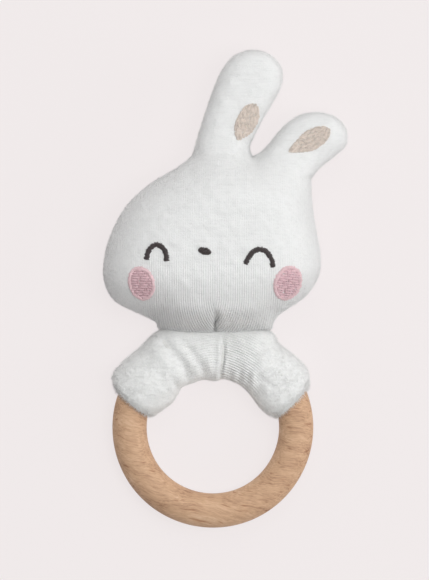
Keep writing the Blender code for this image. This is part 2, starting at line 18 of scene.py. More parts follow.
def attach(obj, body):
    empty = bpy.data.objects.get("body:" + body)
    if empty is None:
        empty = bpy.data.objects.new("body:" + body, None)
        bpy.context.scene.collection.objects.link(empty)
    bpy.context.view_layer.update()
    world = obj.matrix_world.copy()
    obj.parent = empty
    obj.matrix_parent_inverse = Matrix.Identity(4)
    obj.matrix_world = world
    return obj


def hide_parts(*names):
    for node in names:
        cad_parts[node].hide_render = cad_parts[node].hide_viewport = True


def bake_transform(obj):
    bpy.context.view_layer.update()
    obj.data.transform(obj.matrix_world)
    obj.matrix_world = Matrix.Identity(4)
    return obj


MM = 0.001

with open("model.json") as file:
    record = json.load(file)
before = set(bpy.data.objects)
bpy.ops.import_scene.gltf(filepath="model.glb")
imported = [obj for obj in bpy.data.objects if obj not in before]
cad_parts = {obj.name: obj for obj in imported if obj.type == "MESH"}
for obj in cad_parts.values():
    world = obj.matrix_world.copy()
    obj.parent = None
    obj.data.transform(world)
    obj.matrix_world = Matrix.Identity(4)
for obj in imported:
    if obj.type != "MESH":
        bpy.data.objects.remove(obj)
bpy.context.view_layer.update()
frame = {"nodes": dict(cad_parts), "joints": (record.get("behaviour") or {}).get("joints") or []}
joints = {joint["name"]: joint for joint in frame["joints"]}
ring_middle = np.array(joints["ring_turn"]["pos_m"]) / MM
ring_axis = np.array(joints["ring_turn"]["axis"])
seam_height = joints["ear_left_bend"]["pos_m"][2] / MM

# Outlines, clockwise from the left of the neck
HEAD_LEFT = [
    (-19.6, 34.5),
    (-19.8, 36.1),
    (-21.1, 37.5),
    (-24.6, 39.2),
    (-28.8, 41.1),
    (-32.8, 43.1),
    (-35.6, 45.6),
    (-37.7, 49.8),
    (-38.5, 55.0),
    (-37.4, 63.0),
    (-34.8, 70.0),
    (-31.6, 76.0),
    (-27.0, 81.4),
    (-20.6, 86.5),
    (-14.4, 90.1),
    (-9.6, 93.4),
    (-7.2, 95.8),
]
EAR_LEFT = [
    (-7.2, 95.8),
    (-5.6, 101.5),
    (-2.8, 110.5),
    (0.2, 119.0),
    (2.9, 125.0),
    (7.2, 130.2),
    (13.2, 132.3),
    (19.6, 131.0),
    (24.0, 126.4),
    (24.4, 120.6),
    (21.4, 114.0),
    (17.4, 107.4),
    (14.6, 101.6),
    (13.1, 98.0),
    (14.1, 95.2),
]
EAR_RIGHT = [
    (14.1, 95.2),
    (16.5, 96.6),
    (19.4, 99.5),
    (23.4, 104.4),
    (27.2, 107.8),
    (31.6, 110.0),
    (37.2, 110.6),
    (43.0, 108.9),
    (46.8, 104.6),
    (46.8, 99.0),
    (42.8, 94.9),
    (37.8, 90.9),
    (34.6, 87.2),
]
HEAD_RIGHT = [
    (34.6, 87.2),
    (34.9, 79.0),
    (36.1, 70.2),
    (37.6, 62.4),
    (37.8, 56.0),
    (36.2, 51.0),
    (32.6, 46.0),
    (27.0, 41.9),
    (23.4, 39.5),
    (21.9, 37.4),
    (21.3, 35.9),
    (21.2, 34.4),
]
NECK = [(21.2, 34.4), (17.6, 33.7), (9.0, 32.8), (0.0, 32.5), (-9.0, 32.8), (-17.0, 33.7), (-19.6, 34.5)]
NECK_OPENING = [
    (21.5, 30.0), (20.0, 22.0), (10.0, 17.0), (0.0, 16.0),
    (-10.0, 17.0), (-20.0, 22.0), (-21.5, 30.0),
]
OUTLINE_STEP = 0.6

# Stuffing: rises above and falls below the side seam
HEAD_FRONT = 20.6
HEAD_BACK = 17.0
EAR_FRONT = 6.6
EAR_BACK = 6.2
SEAM_DIP = 0.35
NECK_SEAM_HEIGHT = 8.6
NECK_CLIMB = 22.0

# Arms: inner and outer edge of the sleeve at stations from the left wrist to the right wrist
ARM_STATIONS = [
    ((-22.0, 4.6), (-33.6, 13.6)),
    ((-19.8, 5.0), (-34.8, 15.9)),
    ((-17.0, 6.7), (-35.1, 18.2)),
    ((-14.2, 8.9), (-33.6, 20.7)),
    ((-12.3, 11.7), (-29.9, 24.4)),
    ((-10.7, 14.3), (-25.1, 28.4)),
    ((-6.9, 15.8), (-19.2, 33.9)),
    ((-3.2, 16.9), (-10.5, 36.2)),
    ((0.7, 16.4), (0.0, 36.6)),
    ((3.6, 17.2), (10.5, 36.2)),
    ((7.2, 16.1), (20.0, 33.9)),
    ((10.1, 14.6), (23.1, 29.5)),
    ((12.6, 12.2), (27.8, 25.8)),
    ((15.0, 9.1), (32.0, 21.9)),
    ((17.2, 6.4), (33.5, 18.9)),
    ((19.4, 4.8), (33.6, 16.6)),
    ((22.0, 4.3), (33.4, 14.9)),
]
ARM_HALF_HEIGHTS = [7.9, 8.5, 8.8, 9.0, 9.0, 8.9, 8.6, 8.4, 8.4, 8.4, 8.6, 8.9, 9.0, 9.0, 8.8, 8.5, 7.9]
ARM_ROUNDNESS = 2.25
RING_PITCH_R = 29.25
RING_TUBE_R = 6.05
RING_HALF_HEIGHT = 5.68
CHANNEL_R = 6.2
PILE_STAND = 0.32
TABLE_GAP = 0.02

# One white velour covers head and arms: the head's copy is painted a little darker, painted shade, and the arms'
# copy lighter, painted light
CLOTH = (0.80, 0.805, 0.80)
ARM_CLOTH_PAINTED_LIGHTER = (0.88, 0.885, 0.875)


# ---------------------------------------------------------------- helpers


FINE_STEPS = 24


def smooth_step(value):
    """Rises from 0 to 1 with level ends."""
    t = np.clip(value, 0, 1)
    return t * t * (3 - 2 * t)


def to_world(points):
    """Plan points with heights, in millimetres, to metres in the frame."""
    points = np.asarray(points, float)
    place = points.copy()
    place[:, 0] += ring_middle[0]
    place[:, 1] += ring_middle[1]
    return place * MM


def new_piece(name, points, faces, material, smooth=True):
    """A mesh object from points in metres."""
    mesh = bpy.data.meshes.new(name)
    mesh.from_pydata(np.asarray(points, float).tolist(), [], [list(map(int, f)) for f in faces])
    mesh.update()
    if smooth:
        mesh.shade_smooth()
    mesh.materials.append(material)
    obj = bpy.data.objects.new(name, mesh)
    bpy.context.scene.collection.objects.link(obj)
    return obj


def unit(vectors):
    """Vectors along the last axis, made one long."""
    return vectors / np.linalg.norm(vectors, axis=-1, keepdims=True)


def inward_of(edge, reach=1):
    """Unit directions into a clockwise closed edge, square to the chord between each point's neighbours."""
    tangent = unit(np.roll(edge, -reach, axis=0) - np.roll(edge, reach, axis=0))
    return np.column_stack([tangent[:, 1], -tangent[:, 0]])


def catmull_rom(points, per_span):
    """Cubic spans from the second to the last but one point, each shaped by its four nearest."""
    t = np.linspace(0, 1, per_span, endpoint=False)[:, None]
    runs = []
    for a, b, c, d in zip(points[:-3], points[1:-2], points[2:-1], points[3:]):
        bend = (2 * a - 5 * b + 4 * c - d) * t**2
        runs.append(0.5 * (2 * b + (c - a) * t + bend + (3 * b - a - 3 * c + d) * t**3))
    return np.concatenate(runs + [points[-2:-1]])


def curve_through(points, step, closed=False):
    """Catmull-Rom curve through points, cut into even steps of about the given length."""
    points = np.asarray(points, float)
    if closed:
        points = np.concatenate([points[-1:], points, points[:2]])
    else:
        first = 2 * points[0] - points[1]
        last = 2 * points[-1] - points[-2]
        points = np.concatenate([[first], points, [last]])
    fine = catmull_rom(points, FINE_STEPS)
    along = np.concatenate([[0], np.cumsum(np.linalg.norm(np.diff(fine, axis=0), axis=1))])
    count = max(2, int(round(along[-1] / step)) + 1)
    at = np.linspace(0, along[-1], count)
    return np.column_stack([np.interp(at, along, fine[:, k]) for k in range(fine.shape[1])])


def distance_to_line(places, line):
    """Shortest distance from each place to a line of short segments, and how far along it that is."""
    best = np.full(len(places), np.inf)
    where = np.zeros(len(places))
    lengths = np.linalg.norm(np.diff(line, axis=0), axis=1)
    begin = np.concatenate([[0], np.cumsum(lengths)])
    for k, (a, b) in enumerate(zip(line[:-1], line[1:])):
        ab = b - a
        t = np.clip(((places - a) @ ab) / max(ab @ ab, 1e-12), 0, 1)
        gap = np.linalg.norm(places - (a + t[:, None] * ab), axis=1)
        nearer = gap < best
        best[nearer] = gap[nearer]
        where[nearer] = (begin[k] + t * lengths[k])[nearer]
    return best, where / begin[-1]


# ---------------------------------------------------------------- head and ears


def drawn_in(runs, by):
    """Runs of points that close one outline, all moved inwards by one distance."""
    closed = np.concatenate([run[:-1] for run in runs])
    closed = closed + inward_of(closed, 2) * by
    starts = np.cumsum([0] + [len(run) - 1 for run in runs])
    return closed, [np.take(closed, range(a, b + 1), axis=0, mode="wrap") for a, b in zip(starts, starts[1:])]


OUTLINE = (HEAD_LEFT, EAR_LEFT, EAR_RIGHT, HEAD_RIGHT, NECK)
silhouette, outline_runs = drawn_in([curve_through(run, OUTLINE_STEP) for run in OUTLINE], PILE_STAND)
head_left, ear_left_edge, ear_right_edge, head_right, neck_edge = outline_runs
left_base = (ear_left_edge[0], ear_left_edge[-1])
right_base = (ear_right_edge[0], ear_right_edge[-1])


DEPTH_BATCH = 4000


def depth_inside(places, outline):
    """Smooth depth inside an outline: near the edge it is the distance, and further in it is the inverse
    root of the edge's summed inverse cubes of distance, which has no creases."""
    ahead = np.roll(outline, -1, axis=0)
    middles = (outline + ahead) / 2
    steps = np.linalg.norm(ahead - outline, axis=1)
    nearest, total = np.full(len(places), np.inf), np.zeros(len(places))
    for start in range(0, len(places), DEPTH_BATCH):
        batch = slice(start, start + DEPTH_BATCH)
        part = places[batch]
        offset = part[:, None, :] - middles[None, :, :]
        square = (offset**2).sum(axis=2)
        total[batch] = (steps / (square + 0.1) ** 1.5).sum(axis=1)
        edge = (ahead - outline)[None, :, :]
        back = part[:, None, :] - outline[None, :, :]
        t = np.clip((back * edge).sum(axis=2) / (edge**2).sum(axis=2), 0, 1)
        gap = ((back - t[:, :, None] * edge) ** 2).sum(axis=2)
        nearest[batch] = np.sqrt(gap.min(axis=1))
    spread = np.sqrt(2 / total)
    share = smooth_step((nearest - 0.4) / 1.6)
    return nearest * (1 - share) + spread * share


def on_table(height):
    """Heights with what would sink below the table flattened on it, by a soft maximum of 0 and the height."""
    rest = 0.35
    return rest * np.logaddexp(0, np.asarray(height) / rest)


def dome(depth, reach):
    """Quarter of an ellipse: 0 at the edge, upright there, and 1 and level from the given depth inwards."""
    return np.sqrt(1 - (1 - np.clip(depth / reach, 0, 1)) ** 2)


def base_axes(base):
    """Unit directions along an ear's base line and out towards the ear."""
    along = (base[1] - base[0]) / np.linalg.norm(base[1] - base[0])
    return along, np.array([-along[1], along[0]])


def beyond(places, base):
    """How far places lie beyond an ear's base line, towards the ear."""
    along, out = base_axes(base)
    return (places - base[0]) @ out, (places - (base[0] + base[1]) / 2) @ along


EAR_SLOPE = 26.0


def ear_share(places):
    """0 on the head and 1 on an ear, turning over smoothly across the base."""
    share = np.zeros(len(places))
    for base in (left_base, right_base):
        half = np.linalg.norm(base[1] - base[0]) / 2
        out, along = beyond(places, base)
        near = smooth_step((half + 5 - np.abs(along)) / 5) if base is left_base else 1
        share = np.maximum(share, smooth_step((out + 0.6 * EAR_SLOPE) / EAR_SLOPE) * near)
    return share


HEAD_REACH = 19.5
BACK_REACH = 15.0
EAR_REACH = 6.4
CHIN_REACH = 9.5
open_silhouette = np.concatenate(
    [head_left[2:-1], ear_left_edge[:-1], ear_right_edge[:-1], head_right[:-3], np.array(NECK_OPENING)]
)
CHIN_DART = curve_through([(2.2, 42.4), (1.3, 40.4), (1.5, 38.6), (0.7, 36.8), (0.8, 35.0), (0.5, 31.5)], 0.4)
DART_DEPTH = 3.4
DART_WIDTH = 0.68
EAR_CREASES = [  # line, depth and width
    (curve_through([(-6.5, 96.4), (-1.0, 95.7), (6.0, 95.6), (12.6, 96.0)], 0.6), 0.3, 1.6),
    (curve_through([(14.2, 94.8), (14.9, 91.5), (15.0, 88.0)], 0.6), 0.35, 1.8),
    (curve_through([(17.0, 93.6), (23.0, 91.8), (30.5, 89.4)], 0.6), 0.2, 2.0),
]


def lumps(places, pitch, seed, count=9):
    """Soft unevenness of stuffed cloth: a sum of plane sine waves of about one pitch in random directions."""
    draw = np.random.default_rng(seed)
    turn = draw.uniform(0, 2 * math.pi, count)
    wave = 2 * math.pi / (pitch * draw.uniform(0.75, 1.35, count))
    phase = draw.uniform(0, 2 * math.pi, count)
    across = places[:, :1] * np.cos(turn) + places[:, 1:2] * np.sin(turn)
    return np.sin(across * wave + phase).sum(axis=1) / math.sqrt(count)


def seam_heights(places):
    """Height of the side seam: it climbs from the neck to the level of the ears."""
    climb = smooth_step((places[:, 1] - 33.0) / NECK_CLIMB)
    return NECK_SEAM_HEIGHT + (seam_height - NECK_SEAM_HEIGHT) * climb


def plush_heights(places, side):
    """Height of the stuffed cloth in front of (side 1) or behind (side -1) the seam: a dome of the smooth
    depth, scaled for head and ears, less the creases; in front the chin's own dome hangs over the neck, and
    behind it flattens on the table."""
    depth = depth_inside(places, silhouette)
    share = ear_share(places)
    if side > 0:
        open_depth = depth_inside(places, open_silhouette)
        from_neck, _ = distance_to_line(places, neck_edge)
        head = HEAD_FRONT * dome(open_depth, HEAD_REACH) * dome(from_neck, CHIN_REACH)
        ear = EAR_FRONT * dome(depth, EAR_REACH)
        rise = head * (1 - share) + ear * share
        gap, along = distance_to_line(places, CHIN_DART)
        rise = rise - DART_DEPTH * np.exp(-((gap / DART_WIDTH) ** 1.2)) * smooth_step(along * 2.2)
        for line, fall, width in EAR_CREASES:
            gap, along = distance_to_line(places, line)
            rise = rise - fall * np.exp(-((gap / width) ** 2)) * np.sin(np.pi * np.clip(along, 0.15, 0.85))
        rise = rise + (0.07 * lumps(places, 6.0, 3) + 0.04 * lumps(places, 2.6, 4)) * smooth_step(depth / 4)
        return seam_heights(places) + np.maximum(rise, 0) * smooth_step(depth / 0.02 + 0.5)
    head = HEAD_BACK * dome(depth, BACK_REACH)
    ear = EAR_BACK * dome(depth, EAR_REACH)
    height = seam_heights(places) - (head * (1 - share) + ear * share)
    return on_table(height)


RIM_ROWS = (0.06, 0.22, 0.5, 0.9, 1.4, 2.0, 2.7)
GRID = 0.62


def inside_polygon(places, polygon):
    """Even-odd test of which places lie inside a closed polygon."""
    x, y = places[:, 0], places[:, 1]
    inside = np.zeros(len(places), bool)
    for (x0, y0), (x1, y1) in zip(polygon, np.roll(polygon, -1, axis=0)):
        crosses = (y0 > y) != (y1 > y)
        if crosses.any():
            edge_x = x0 + (y - y0) * (x1 - x0) / (y1 - y0 + 1e-12)
            inside ^= crosses & (x < edge_x)
    return inside


def plan_mesh(edge, pitch):
    """Triangles over a plan region: rows of points just inside its edge and a staggered grid further in."""
    edge = np.asarray(edge)
    inward = inward_of(edge)
    closed_edge = np.concatenate([edge, edge[:1]])
    extra = []
    for row in RIM_ROWS:
        points = edge + inward * row
        gap, _ = distance_to_line(points, closed_edge)
        extra.append(points[(gap > row * 0.93) & inside_polygon(points, edge)])
    low, high = edge.min(axis=0), edge.max(axis=0)
    columns = np.arange(low[0], high[0], pitch)
    lines = np.arange(low[1], high[1], pitch * 0.87)
    x, y = np.meshgrid(columns, lines)
    x = x + (np.arange(len(lines)) % 2)[:, None] * pitch / 2
    grid = np.column_stack([x.ravel(), y.ravel()])
    grid = grid[inside_polygon(grid, edge)]
    gap, _ = distance_to_line(grid, closed_edge)
    extra.append(grid[gap > RIM_ROWS[-1] + pitch * 0.6])
    points = np.concatenate([edge] + extra)
    count = len(edge)
    links = [(i, (i + 1) % count) for i in range(count)]
    verts, _, faces, origin, _, _ = delaunay_2d_cdt([Vector(p) for p in points], links, [], 1, 1e-5)
    places = np.array([tuple(v) for v in verts])
    index = np.array(faces)
    a, b, c = (places[index[:, k]] for k in range(3))
    turn = (b - a)[:, 0] * (c - a)[:, 1] - (b - a)[:, 1] * (c - a)[:, 0]
    index[turn < 0] = index[turn < 0][:, ::-1]
    back_to = {o: i for i, group in enumerate(origin) for o in group}
    on_edge = np.array([back_to[i] for i in range(count)])
    return places, index, on_edge


def stuffed_piece(name, edge, is_cut, material, skin=0.0):
    """A closed padded form over a plan region. Its front and back meet at the side seam along the edge, and
    an upright wall joins them where the edge is a cut through the stuffing. A filling lies a skin's thickness
    inside the cloth."""
    places, faces, on_edge = plan_mesh(edge, 3 * GRID if skin else GRID)
    count = len(places)
    front = plush_heights(places, 1)
    back = plush_heights(places, -1)
    seam = on_edge[~is_cut]
    front[seam] = seam_heights(places)[seam]
    inward = inward_of(edge)
    plan = places.copy()
    if skin:
        middle = (front + back) / 2
        half = (front - back) / 2
        front, back = middle + np.maximum(half - skin, 0), middle - np.maximum(half - skin, 0)
        square = ((places[:, None, :] - edge[None, :, :]) ** 2).sum(axis=2)
        nearest = square.argmin(axis=1)
        gap = np.sqrt(square[np.arange(count), nearest])
        free_edge = 1.0 - is_cut[nearest]
        plan = plan + inward[nearest] * (skin * free_edge * np.exp(-gap / 4))[:, None]
    else:
        dips = ~(is_cut | np.roll(is_cut, 1) | np.roll(is_cut, -1))
        plan[on_edge[dips]] += inward[dips] * SEAM_DIP
    free = np.ones(count, bool)
    free[seam] = False
    back_index = np.arange(count)
    back_index[free] = count + np.arange(free.sum())
    points = np.concatenate([np.column_stack([plan, front]), np.column_stack([plan, back])[free]])
    walls = []
    for a, b, cut_a, cut_b in zip(on_edge, np.roll(on_edge, -1), is_cut, np.roll(is_cut, -1)):
        if cut_a or cut_b:
            corners = [a, b, back_index[b], back_index[a]]
            walls.append([c for k, c in enumerate(corners) if c != corners[k - 1]])
    all_faces = faces.tolist() + back_index[faces][:, ::-1].tolist() + walls
    obj = new_piece(name, to_world(points), all_faces, material)
    fix_normals(obj, len(walls))
    return obj


def fix_normals(obj, walls=0):
    """Turns a closed mesh's faces outwards, and keeps the edges of its last faces, a cut's walls, sharp."""
    bm = bmesh.new()
    bm.from_mesh(obj.data)
    bmesh.ops.recalc_face_normals(bm, faces=bm.faces)
    bm.faces.ensure_lookup_table()
    for face in bm.faces[len(bm.faces) - walls :]:
        for edge in face.edges:
            edge.smooth = False
    bm.to_mesh(obj.data)
    bm.free()


def chord(a, b):
    """Points along a straight line from a to b, without its ends."""
    count = max(2, int(np.linalg.norm(b - a) / OUTLINE_STEP))
    t = np.linspace(0, 1, count + 1)[1:-1, None]
    return a + (b - a) * t


def edge_of(*runs):
    """One closed edge from runs of points, each (points, is it a cut), and which of its points are cut."""
    points = np.concatenate([run for run, _ in runs])
    return points, np.concatenate([np.full(len(run), cut) for run, cut in runs])


# ---------------------------------------------------------------- materials


def new_material(name, roughness, sheen=0.0):
    """A Principled material, and shortcuts to add and link its nodes."""
    material = bpy.data.materials.new(name)
    material.use_nodes = True
    tree = material.node_tree
    shader = tree.nodes["Principled BSDF"]
    shader.inputs["Roughness"].default_value = roughness
    shader.inputs["Sheen Weight"].default_value = sheen
    shader.inputs["Sheen Roughness"].default_value = 0.6
    return material, tree, shader


def add_node(tree, kind, links=(), **values):
    """A node with its inputs set from values (by name with _ for spaces) or linked."""
    node = tree.nodes.new(kind)
    for key, value in values.items():
        if hasattr(node, key):
            setattr(node, key, value)
        else:
            node.inputs[key.replace("_", " ")].default_value = value
    for socket, source in links:
        tree.links.new(source, node.inputs[socket])
    return node


def object_place(tree):
    """The socket of a place on the object, in metres."""
    return tree.nodes.new("ShaderNodeTexCoord").outputs["Object"]


def noise(tree, place, scale, detail, output="Fac", **values):
    """A cloudy pattern."""
    links = [("Vector", place)]
    return add_node(tree, "ShaderNodeTexNoise", links, Scale=scale, Detail=detail, **values).outputs[output]


def stretch(tree, place, scale):
    """Places scaled along each axis, so that a pattern on them is drawn out."""
    return add_node(tree, "ShaderNodeMapping", [("Vector", place)], Scale=scale).outputs[0]


def emboss(tree, shader, height, strength, distance):
    """Fine relief of a height."""
    bump = add_node(tree, "ShaderNodeBump", [("Height", height)], Strength=strength, Distance=distance)
    tree.links.new(bump.outputs["Normal"], shader.inputs["Normal"])


def calculate(tree, operation, *terms):
    """A Math node on sockets and numbers."""
    node = tree.nodes.new("ShaderNodeMath")
    node.operation = operation
    for k, term in enumerate(terms):
        if isinstance(term, (int, float)):
            node.inputs[k].default_value = term
        else:
            tree.links.new(term, node.inputs[k])
    return node.outputs[0]


def colour_ramp(tree, factor, stops):
    """The colour at a factor, between stops of place and colour."""
    node = tree.nodes.new("ShaderNodeValToRGB")
    while len(node.color_ramp.elements) < len(stops):
        node.color_ramp.elements.new(0.5)
    for element, (place, colour) in zip(node.color_ramp.elements, stops):
        element.position = place
        element.color = (*colour, 1)
    tree.links.new(factor, node.inputs["Fac"])
    return node.outputs["Color"]


def shade_of(colour, factor):
    """A colour made lighter or darker by a factor."""
    return tuple(c * factor for c in colour)


def cloth_material(name, colour, uneven):
    """White stockinette velour: a short mottled pile, as uneven as told, over fine ribs, which run where the
    knit_and_painted_shade attribute says; the ribs carry painted shade and light, and its third part paints shade
    in."""
    material, tree, shader = new_material(name, 0.95, sheen=0.25)
    place = object_place(tree)
    knit_and_painted_shade = add_node(tree, "ShaderNodeAttribute", attribute_name="knit_and_painted_shade")
    across = add_node(tree, "ShaderNodeSeparateXYZ", [("Vector", knit_and_painted_shade.outputs["Vector"])])
    wave = calculate(tree, "SINE", calculate(tree, "MULTIPLY", across.outputs["X"], 2 * math.pi))
    strength = across.outputs["Y"]
    mottle = noise(tree, place, 300.0, 4.0, Roughness=0.65)
    pile = noise(tree, place, 1900.0, 3.0, Roughness=0.7)
    streak = noise(tree, stretch(tree, place, (0.16, 1, 1)), 1150.0, 2.0)
    broken = calculate(tree, "MULTIPLY_ADD", mottle, 2.2, -0.3)
    rib = calculate(tree, "MULTIPLY", calculate(tree, "MULTIPLY", wave, strength), broken)
    coarse = calculate(tree, "MULTIPLY_ADD", mottle, 0.3, calculate(tree, "MULTIPLY", pile, 0.35))
    patchy = calculate(tree, "MULTIPLY_ADD", streak, 0.35, coarse)
    # the ribs are painted into the colour too: painted shade in the grooves between them, painted light on their
    # crowns
    tone = calculate(tree, "MULTIPLY_ADD", rib, 0.17 / uneven, patchy)
    # painted shade: the attribute's third part darkens the colour, down to half, along the chin's dart
    tone = calculate(tree, "MULTIPLY_ADD", across.outputs["Z"], -0.4, tone)
    stops = [
        (0.0, shade_of(colour, 0.5)),
        (0.28, shade_of(colour, 1 - 0.16 * uneven)),
        (0.5, colour),
        (0.72, shade_of(colour, 1 + 0.07 * uneven)),
    ]
    tree.links.new(colour_ramp(tree, tone, stops), shader.inputs["Base Color"])
    height = calculate(tree, "MULTIPLY_ADD", rib, 0.5, calculate(tree, "MULTIPLY", pile, 0.9 * uneven))
    height = calculate(tree, "MULTIPLY_ADD", streak, 0.45 * uneven, height)
    emboss(tree, shader, height, 0.7, 0.0005)
    return material


def pile_material(name, colour):
    """Loose fibre tips of the cloth's own fibre, painted a little brighter than the cloth that they stand on:
    painted light against the shade that the fibres cast on one another.
    """
    material, tree, shader = new_material(name, 1.0, sheen=0.3)
    place = object_place(tree)
    mottle = noise(tree, place, 420.0, 2.0)
    stops = [(0.3, shade_of(colour, 0.94)), (0.7, shade_of(colour, 1.06))]
    tree.links.new(colour_ramp(tree, mottle, stops), shader.inputs["Base Color"])
    return material


def thread_material(name, colour, roughness=0.5, dark=0.88, light=1.08):
    """Lustrous embroidery thread with a fine twist, from darker to lighter from stitch to stitch."""
    material, tree, shader = new_material(name, roughness, sheen=0.15)
    place = object_place(tree)
    uneven = noise(tree, place, 900.0, 3.0)
    stops = [(0.3, shade_of(colour, dark)), (0.52, colour), (0.72, shade_of(colour, light))]
    tree.links.new(colour_ramp(tree, uneven, stops), shader.inputs["Base Color"])
    emboss(tree, shader, noise(tree, place, 5200.0, 1.0), 0.35, 0.0001)
    return material


def beech_material(name):
    """Bare steamed beech: bands and fine pores along a slanting grain, short dark ray flecks, sanded."""
    material, tree, shader = new_material(name, 0.6)
    shader.inputs["Specular IOR Level"].default_value = 0.2
    place = object_place(tree)
    turned = {"Location": tuple(ring_middle * MM), "Rotation": (0.1, 0, -0.2)}
    level = add_node(tree, "ShaderNodeMapping", [("Vector", place)], vector_type="TEXTURE", **turned)
    warp = noise(tree, level.outputs[0], 55.0, 2.0, "Color")
    bend = add_node(tree, "ShaderNodeVectorMath", [(0, warp)], operation="SCALE", Scale=0.006)
    terms = [(0, level.outputs[0]), (1, bend.outputs[0])]
    bent = add_node(tree, "ShaderNodeVectorMath", terms, operation="ADD")
    long_grain = stretch(tree, bent.outputs[0], (0.14, 1, 0.8))
    bands = noise(tree, long_grain, 210.0, 5.0, Roughness=0.62)
    pores = noise(tree, long_grain, 1900.0, 3.0, Roughness=0.7)
    streaks = noise(tree, stretch(tree, bent.outputs[0], (0.1, 1, 0.7)), 950.0, 2.0)
    fleck = calculate(tree, "MULTIPLY_ADD", streaks, 9.0, -5.5)
    fleck = calculate(tree, "MAXIMUM", calculate(tree, "MINIMUM", fleck, 1.0), 0.0)
    tone = calculate(tree, "MULTIPLY_ADD", pores, 0.5, calculate(tree, "MULTIPLY", bands, 0.5))
    stops = [
        (0.34, (0.36, 0.20, 0.12)),
        (0.44, (0.52, 0.325, 0.205)),
        (0.53, (0.61, 0.392, 0.248)),
        (0.66, (0.715, 0.50, 0.34)),
    ]
    wood = colour_ramp(tree, tone, stops)
    mixed = add_node(tree, "ShaderNodeMix", data_type="RGBA", blend_type="MULTIPLY")
    tree.links.new(calculate(tree, "MULTIPLY", fleck, 0.75), mixed.inputs["Factor"])
    tree.links.new(wood, mixed.inputs[6])
    mixed.inputs[7].default_value = (0.60, 0.44, 0.36, 1)
    tree.links.new(mixed.outputs[2], shader.inputs["Base Color"])
    height = calculate(tree, "MULTIPLY_ADD", fleck, -0.25, tone)
    emboss(tree, shader, height, 0.3, 0.00025)
    return material


def plastic_material(name, colour, roughness):
    """Moulded plastic with a faint grain."""
    material, tree, shader = new_material(name, roughness)
    place = object_place(tree)
    grain = noise(tree, place, 1500.0, 2.0)
    stops = [(0.4, shade_of(colour, 0.95)), (0.6, colour)]
    tree.links.new(colour_ramp(tree, grain, stops), shader.inputs["Base Color"])
    emboss(tree, shader, grain, 0.1, 0.0001)
    return material


def fibre_material(name):
    """Loose white polyester wadding."""
    material, tree, shader = new_material(name, 1.0, sheen=0.3)
    place = object_place(tree)
    fluff = noise(tree, place, 500.0, 6.0, Roughness=0.75)
    stops = [(0.35, (0.72, 0.72, 0.7)), (0.6, (0.9, 0.9, 0.88))]
    tree.links.new(colour_ramp(tree, fluff, stops), shader.inputs["Base Color"])
    emboss(tree, shader, fluff, 0.8, 0.0008)
    return material


velour = cloth_material("velour", CLOTH, 0.7)
# painted light: the arms' velour is the head's cloth painted lighter
arm_velour = cloth_material("arm_velour", ARM_CLOTH_PAINTED_LIGHTER, 1.2)
# painted light: each pile is its cloth's colour painted brighter
velour_pile = pile_material("velour_pile", shade_of(CLOTH, 1.06))
arm_pile = pile_material("arm_pile", shade_of(ARM_CLOTH_PAINTED_LIGHTER, 1.04))
beech = beech_material("beech")
brown_thread = thread_material("brown_thread", (0.036, 0.024, 0.024), 0.55)
pink_thread = thread_material("pink_thread", (0.73, 0.505, 0.545))
# painted shade: the cheeks' ground is the fill's pink thread painted darker, to shade the gaps between rows
pink_ground_thread_painted_darker = thread_material("pink_ground_thread_painted_darker", (0.60, 0.385, 0.42))
# painted light: the cheeks' border is the same pink thread painted lighter, for the light that it catches
pink_edge_thread_painted_lighter = thread_material("pink_edge_thread_painted_lighter", (0.78, 0.56, 0.59))
beige_thread = thread_material("beige_thread", (0.69, 0.605, 0.54), 0.65, dark=0.78, light=1.1)
white_thread = thread_material("white_thread", (0.78, 0.78, 0.76), 0.7)
fibre = fibre_material("fibre")
shell_plastic = plastic_material("shell_plastic", (0.86, 0.86, 0.84), 0.42)
bead_plastic = plastic_material("bead_plastic", (0.7, 0.74, 0.78), 0.3)


# ---------------------------------------------------------------- skins


def set_knit(obj, across, strength, painted_shade=0.0):
    """Stores where the ribs run: the distance across them in rib widths, how strongly they show, and how
    much painted shade darkens the cloth."""
    knit_and_painted_shade = obj.data.attributes.new("knit_and_painted_shade", "FLOAT_VECTOR", "POINT")
    values = np.column_stack([across, strength, np.zeros(len(across)) + painted_shade])
    knit_and_painted_shade.data.foreach_set("vector", values.astype(np.float32).ravel())


def plan_of(obj):
    """A piece's points back on the plan, in millimetres, and their normals."""
    points = np.zeros(len(obj.data.vertices) * 3, np.float32)
    obj.data.vertices.foreach_get("co", points)
    normals = np.zeros(len(points), np.float32)
    obj.data.vertices.foreach_get("normal", normals)
    points = points.reshape(-1, 3).astype(float) / MM
    points[:, :2] -= ring_middle[:2]
    return points, normals.reshape(-1, 3).astype(float)


RIB_PITCH = 0.78
COURSE_PITCH = 0.86
DART_X = 0.8
LEAN_START = 46


def knit_face(obj):
    """Ribs stand upright on the lower face and lean in towards the chin's dart, in step with the square of
    the drop below LEAN_START. Along the dart the cloth is painted darker: painted shade in its groove."""
    points, normals = plan_of(obj)
    x, y = points[:, 0] - DART_X, points[:, 1]
    drop = np.maximum(LEAN_START - y, 0)
    across = (x + np.sign(x) * 0.035 * drop**2 * np.exp(-np.abs(x) / 16)) / RIB_PITCH
    lower = 0.25 * smooth_step((64 - y) / 10) + 0.4 * smooth_step((53 - y) / 12)
    lower = lower + 0.6 * smooth_step((44 - y) / 5)
    strength = lower * smooth_step((normals[:, 2] + 0.1) * 3) * smooth_step((31 - np.abs(x)) / 12)
    gap, along = distance_to_line(points[:, :2], CHIN_DART)
    # painted shade along the chin's dart, where its groove lies in shade
    painted_shade = np.exp(-((gap / 0.5) ** 2)) * smooth_step(along * 2.5) * (points[:, 2] > seam_height)
    set_knit(obj, across, 0.12 + 0.88 * strength, painted_shade)


def bend_at_neck(piece):
    """Bakes the piece's place into its points."""
    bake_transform(piece)


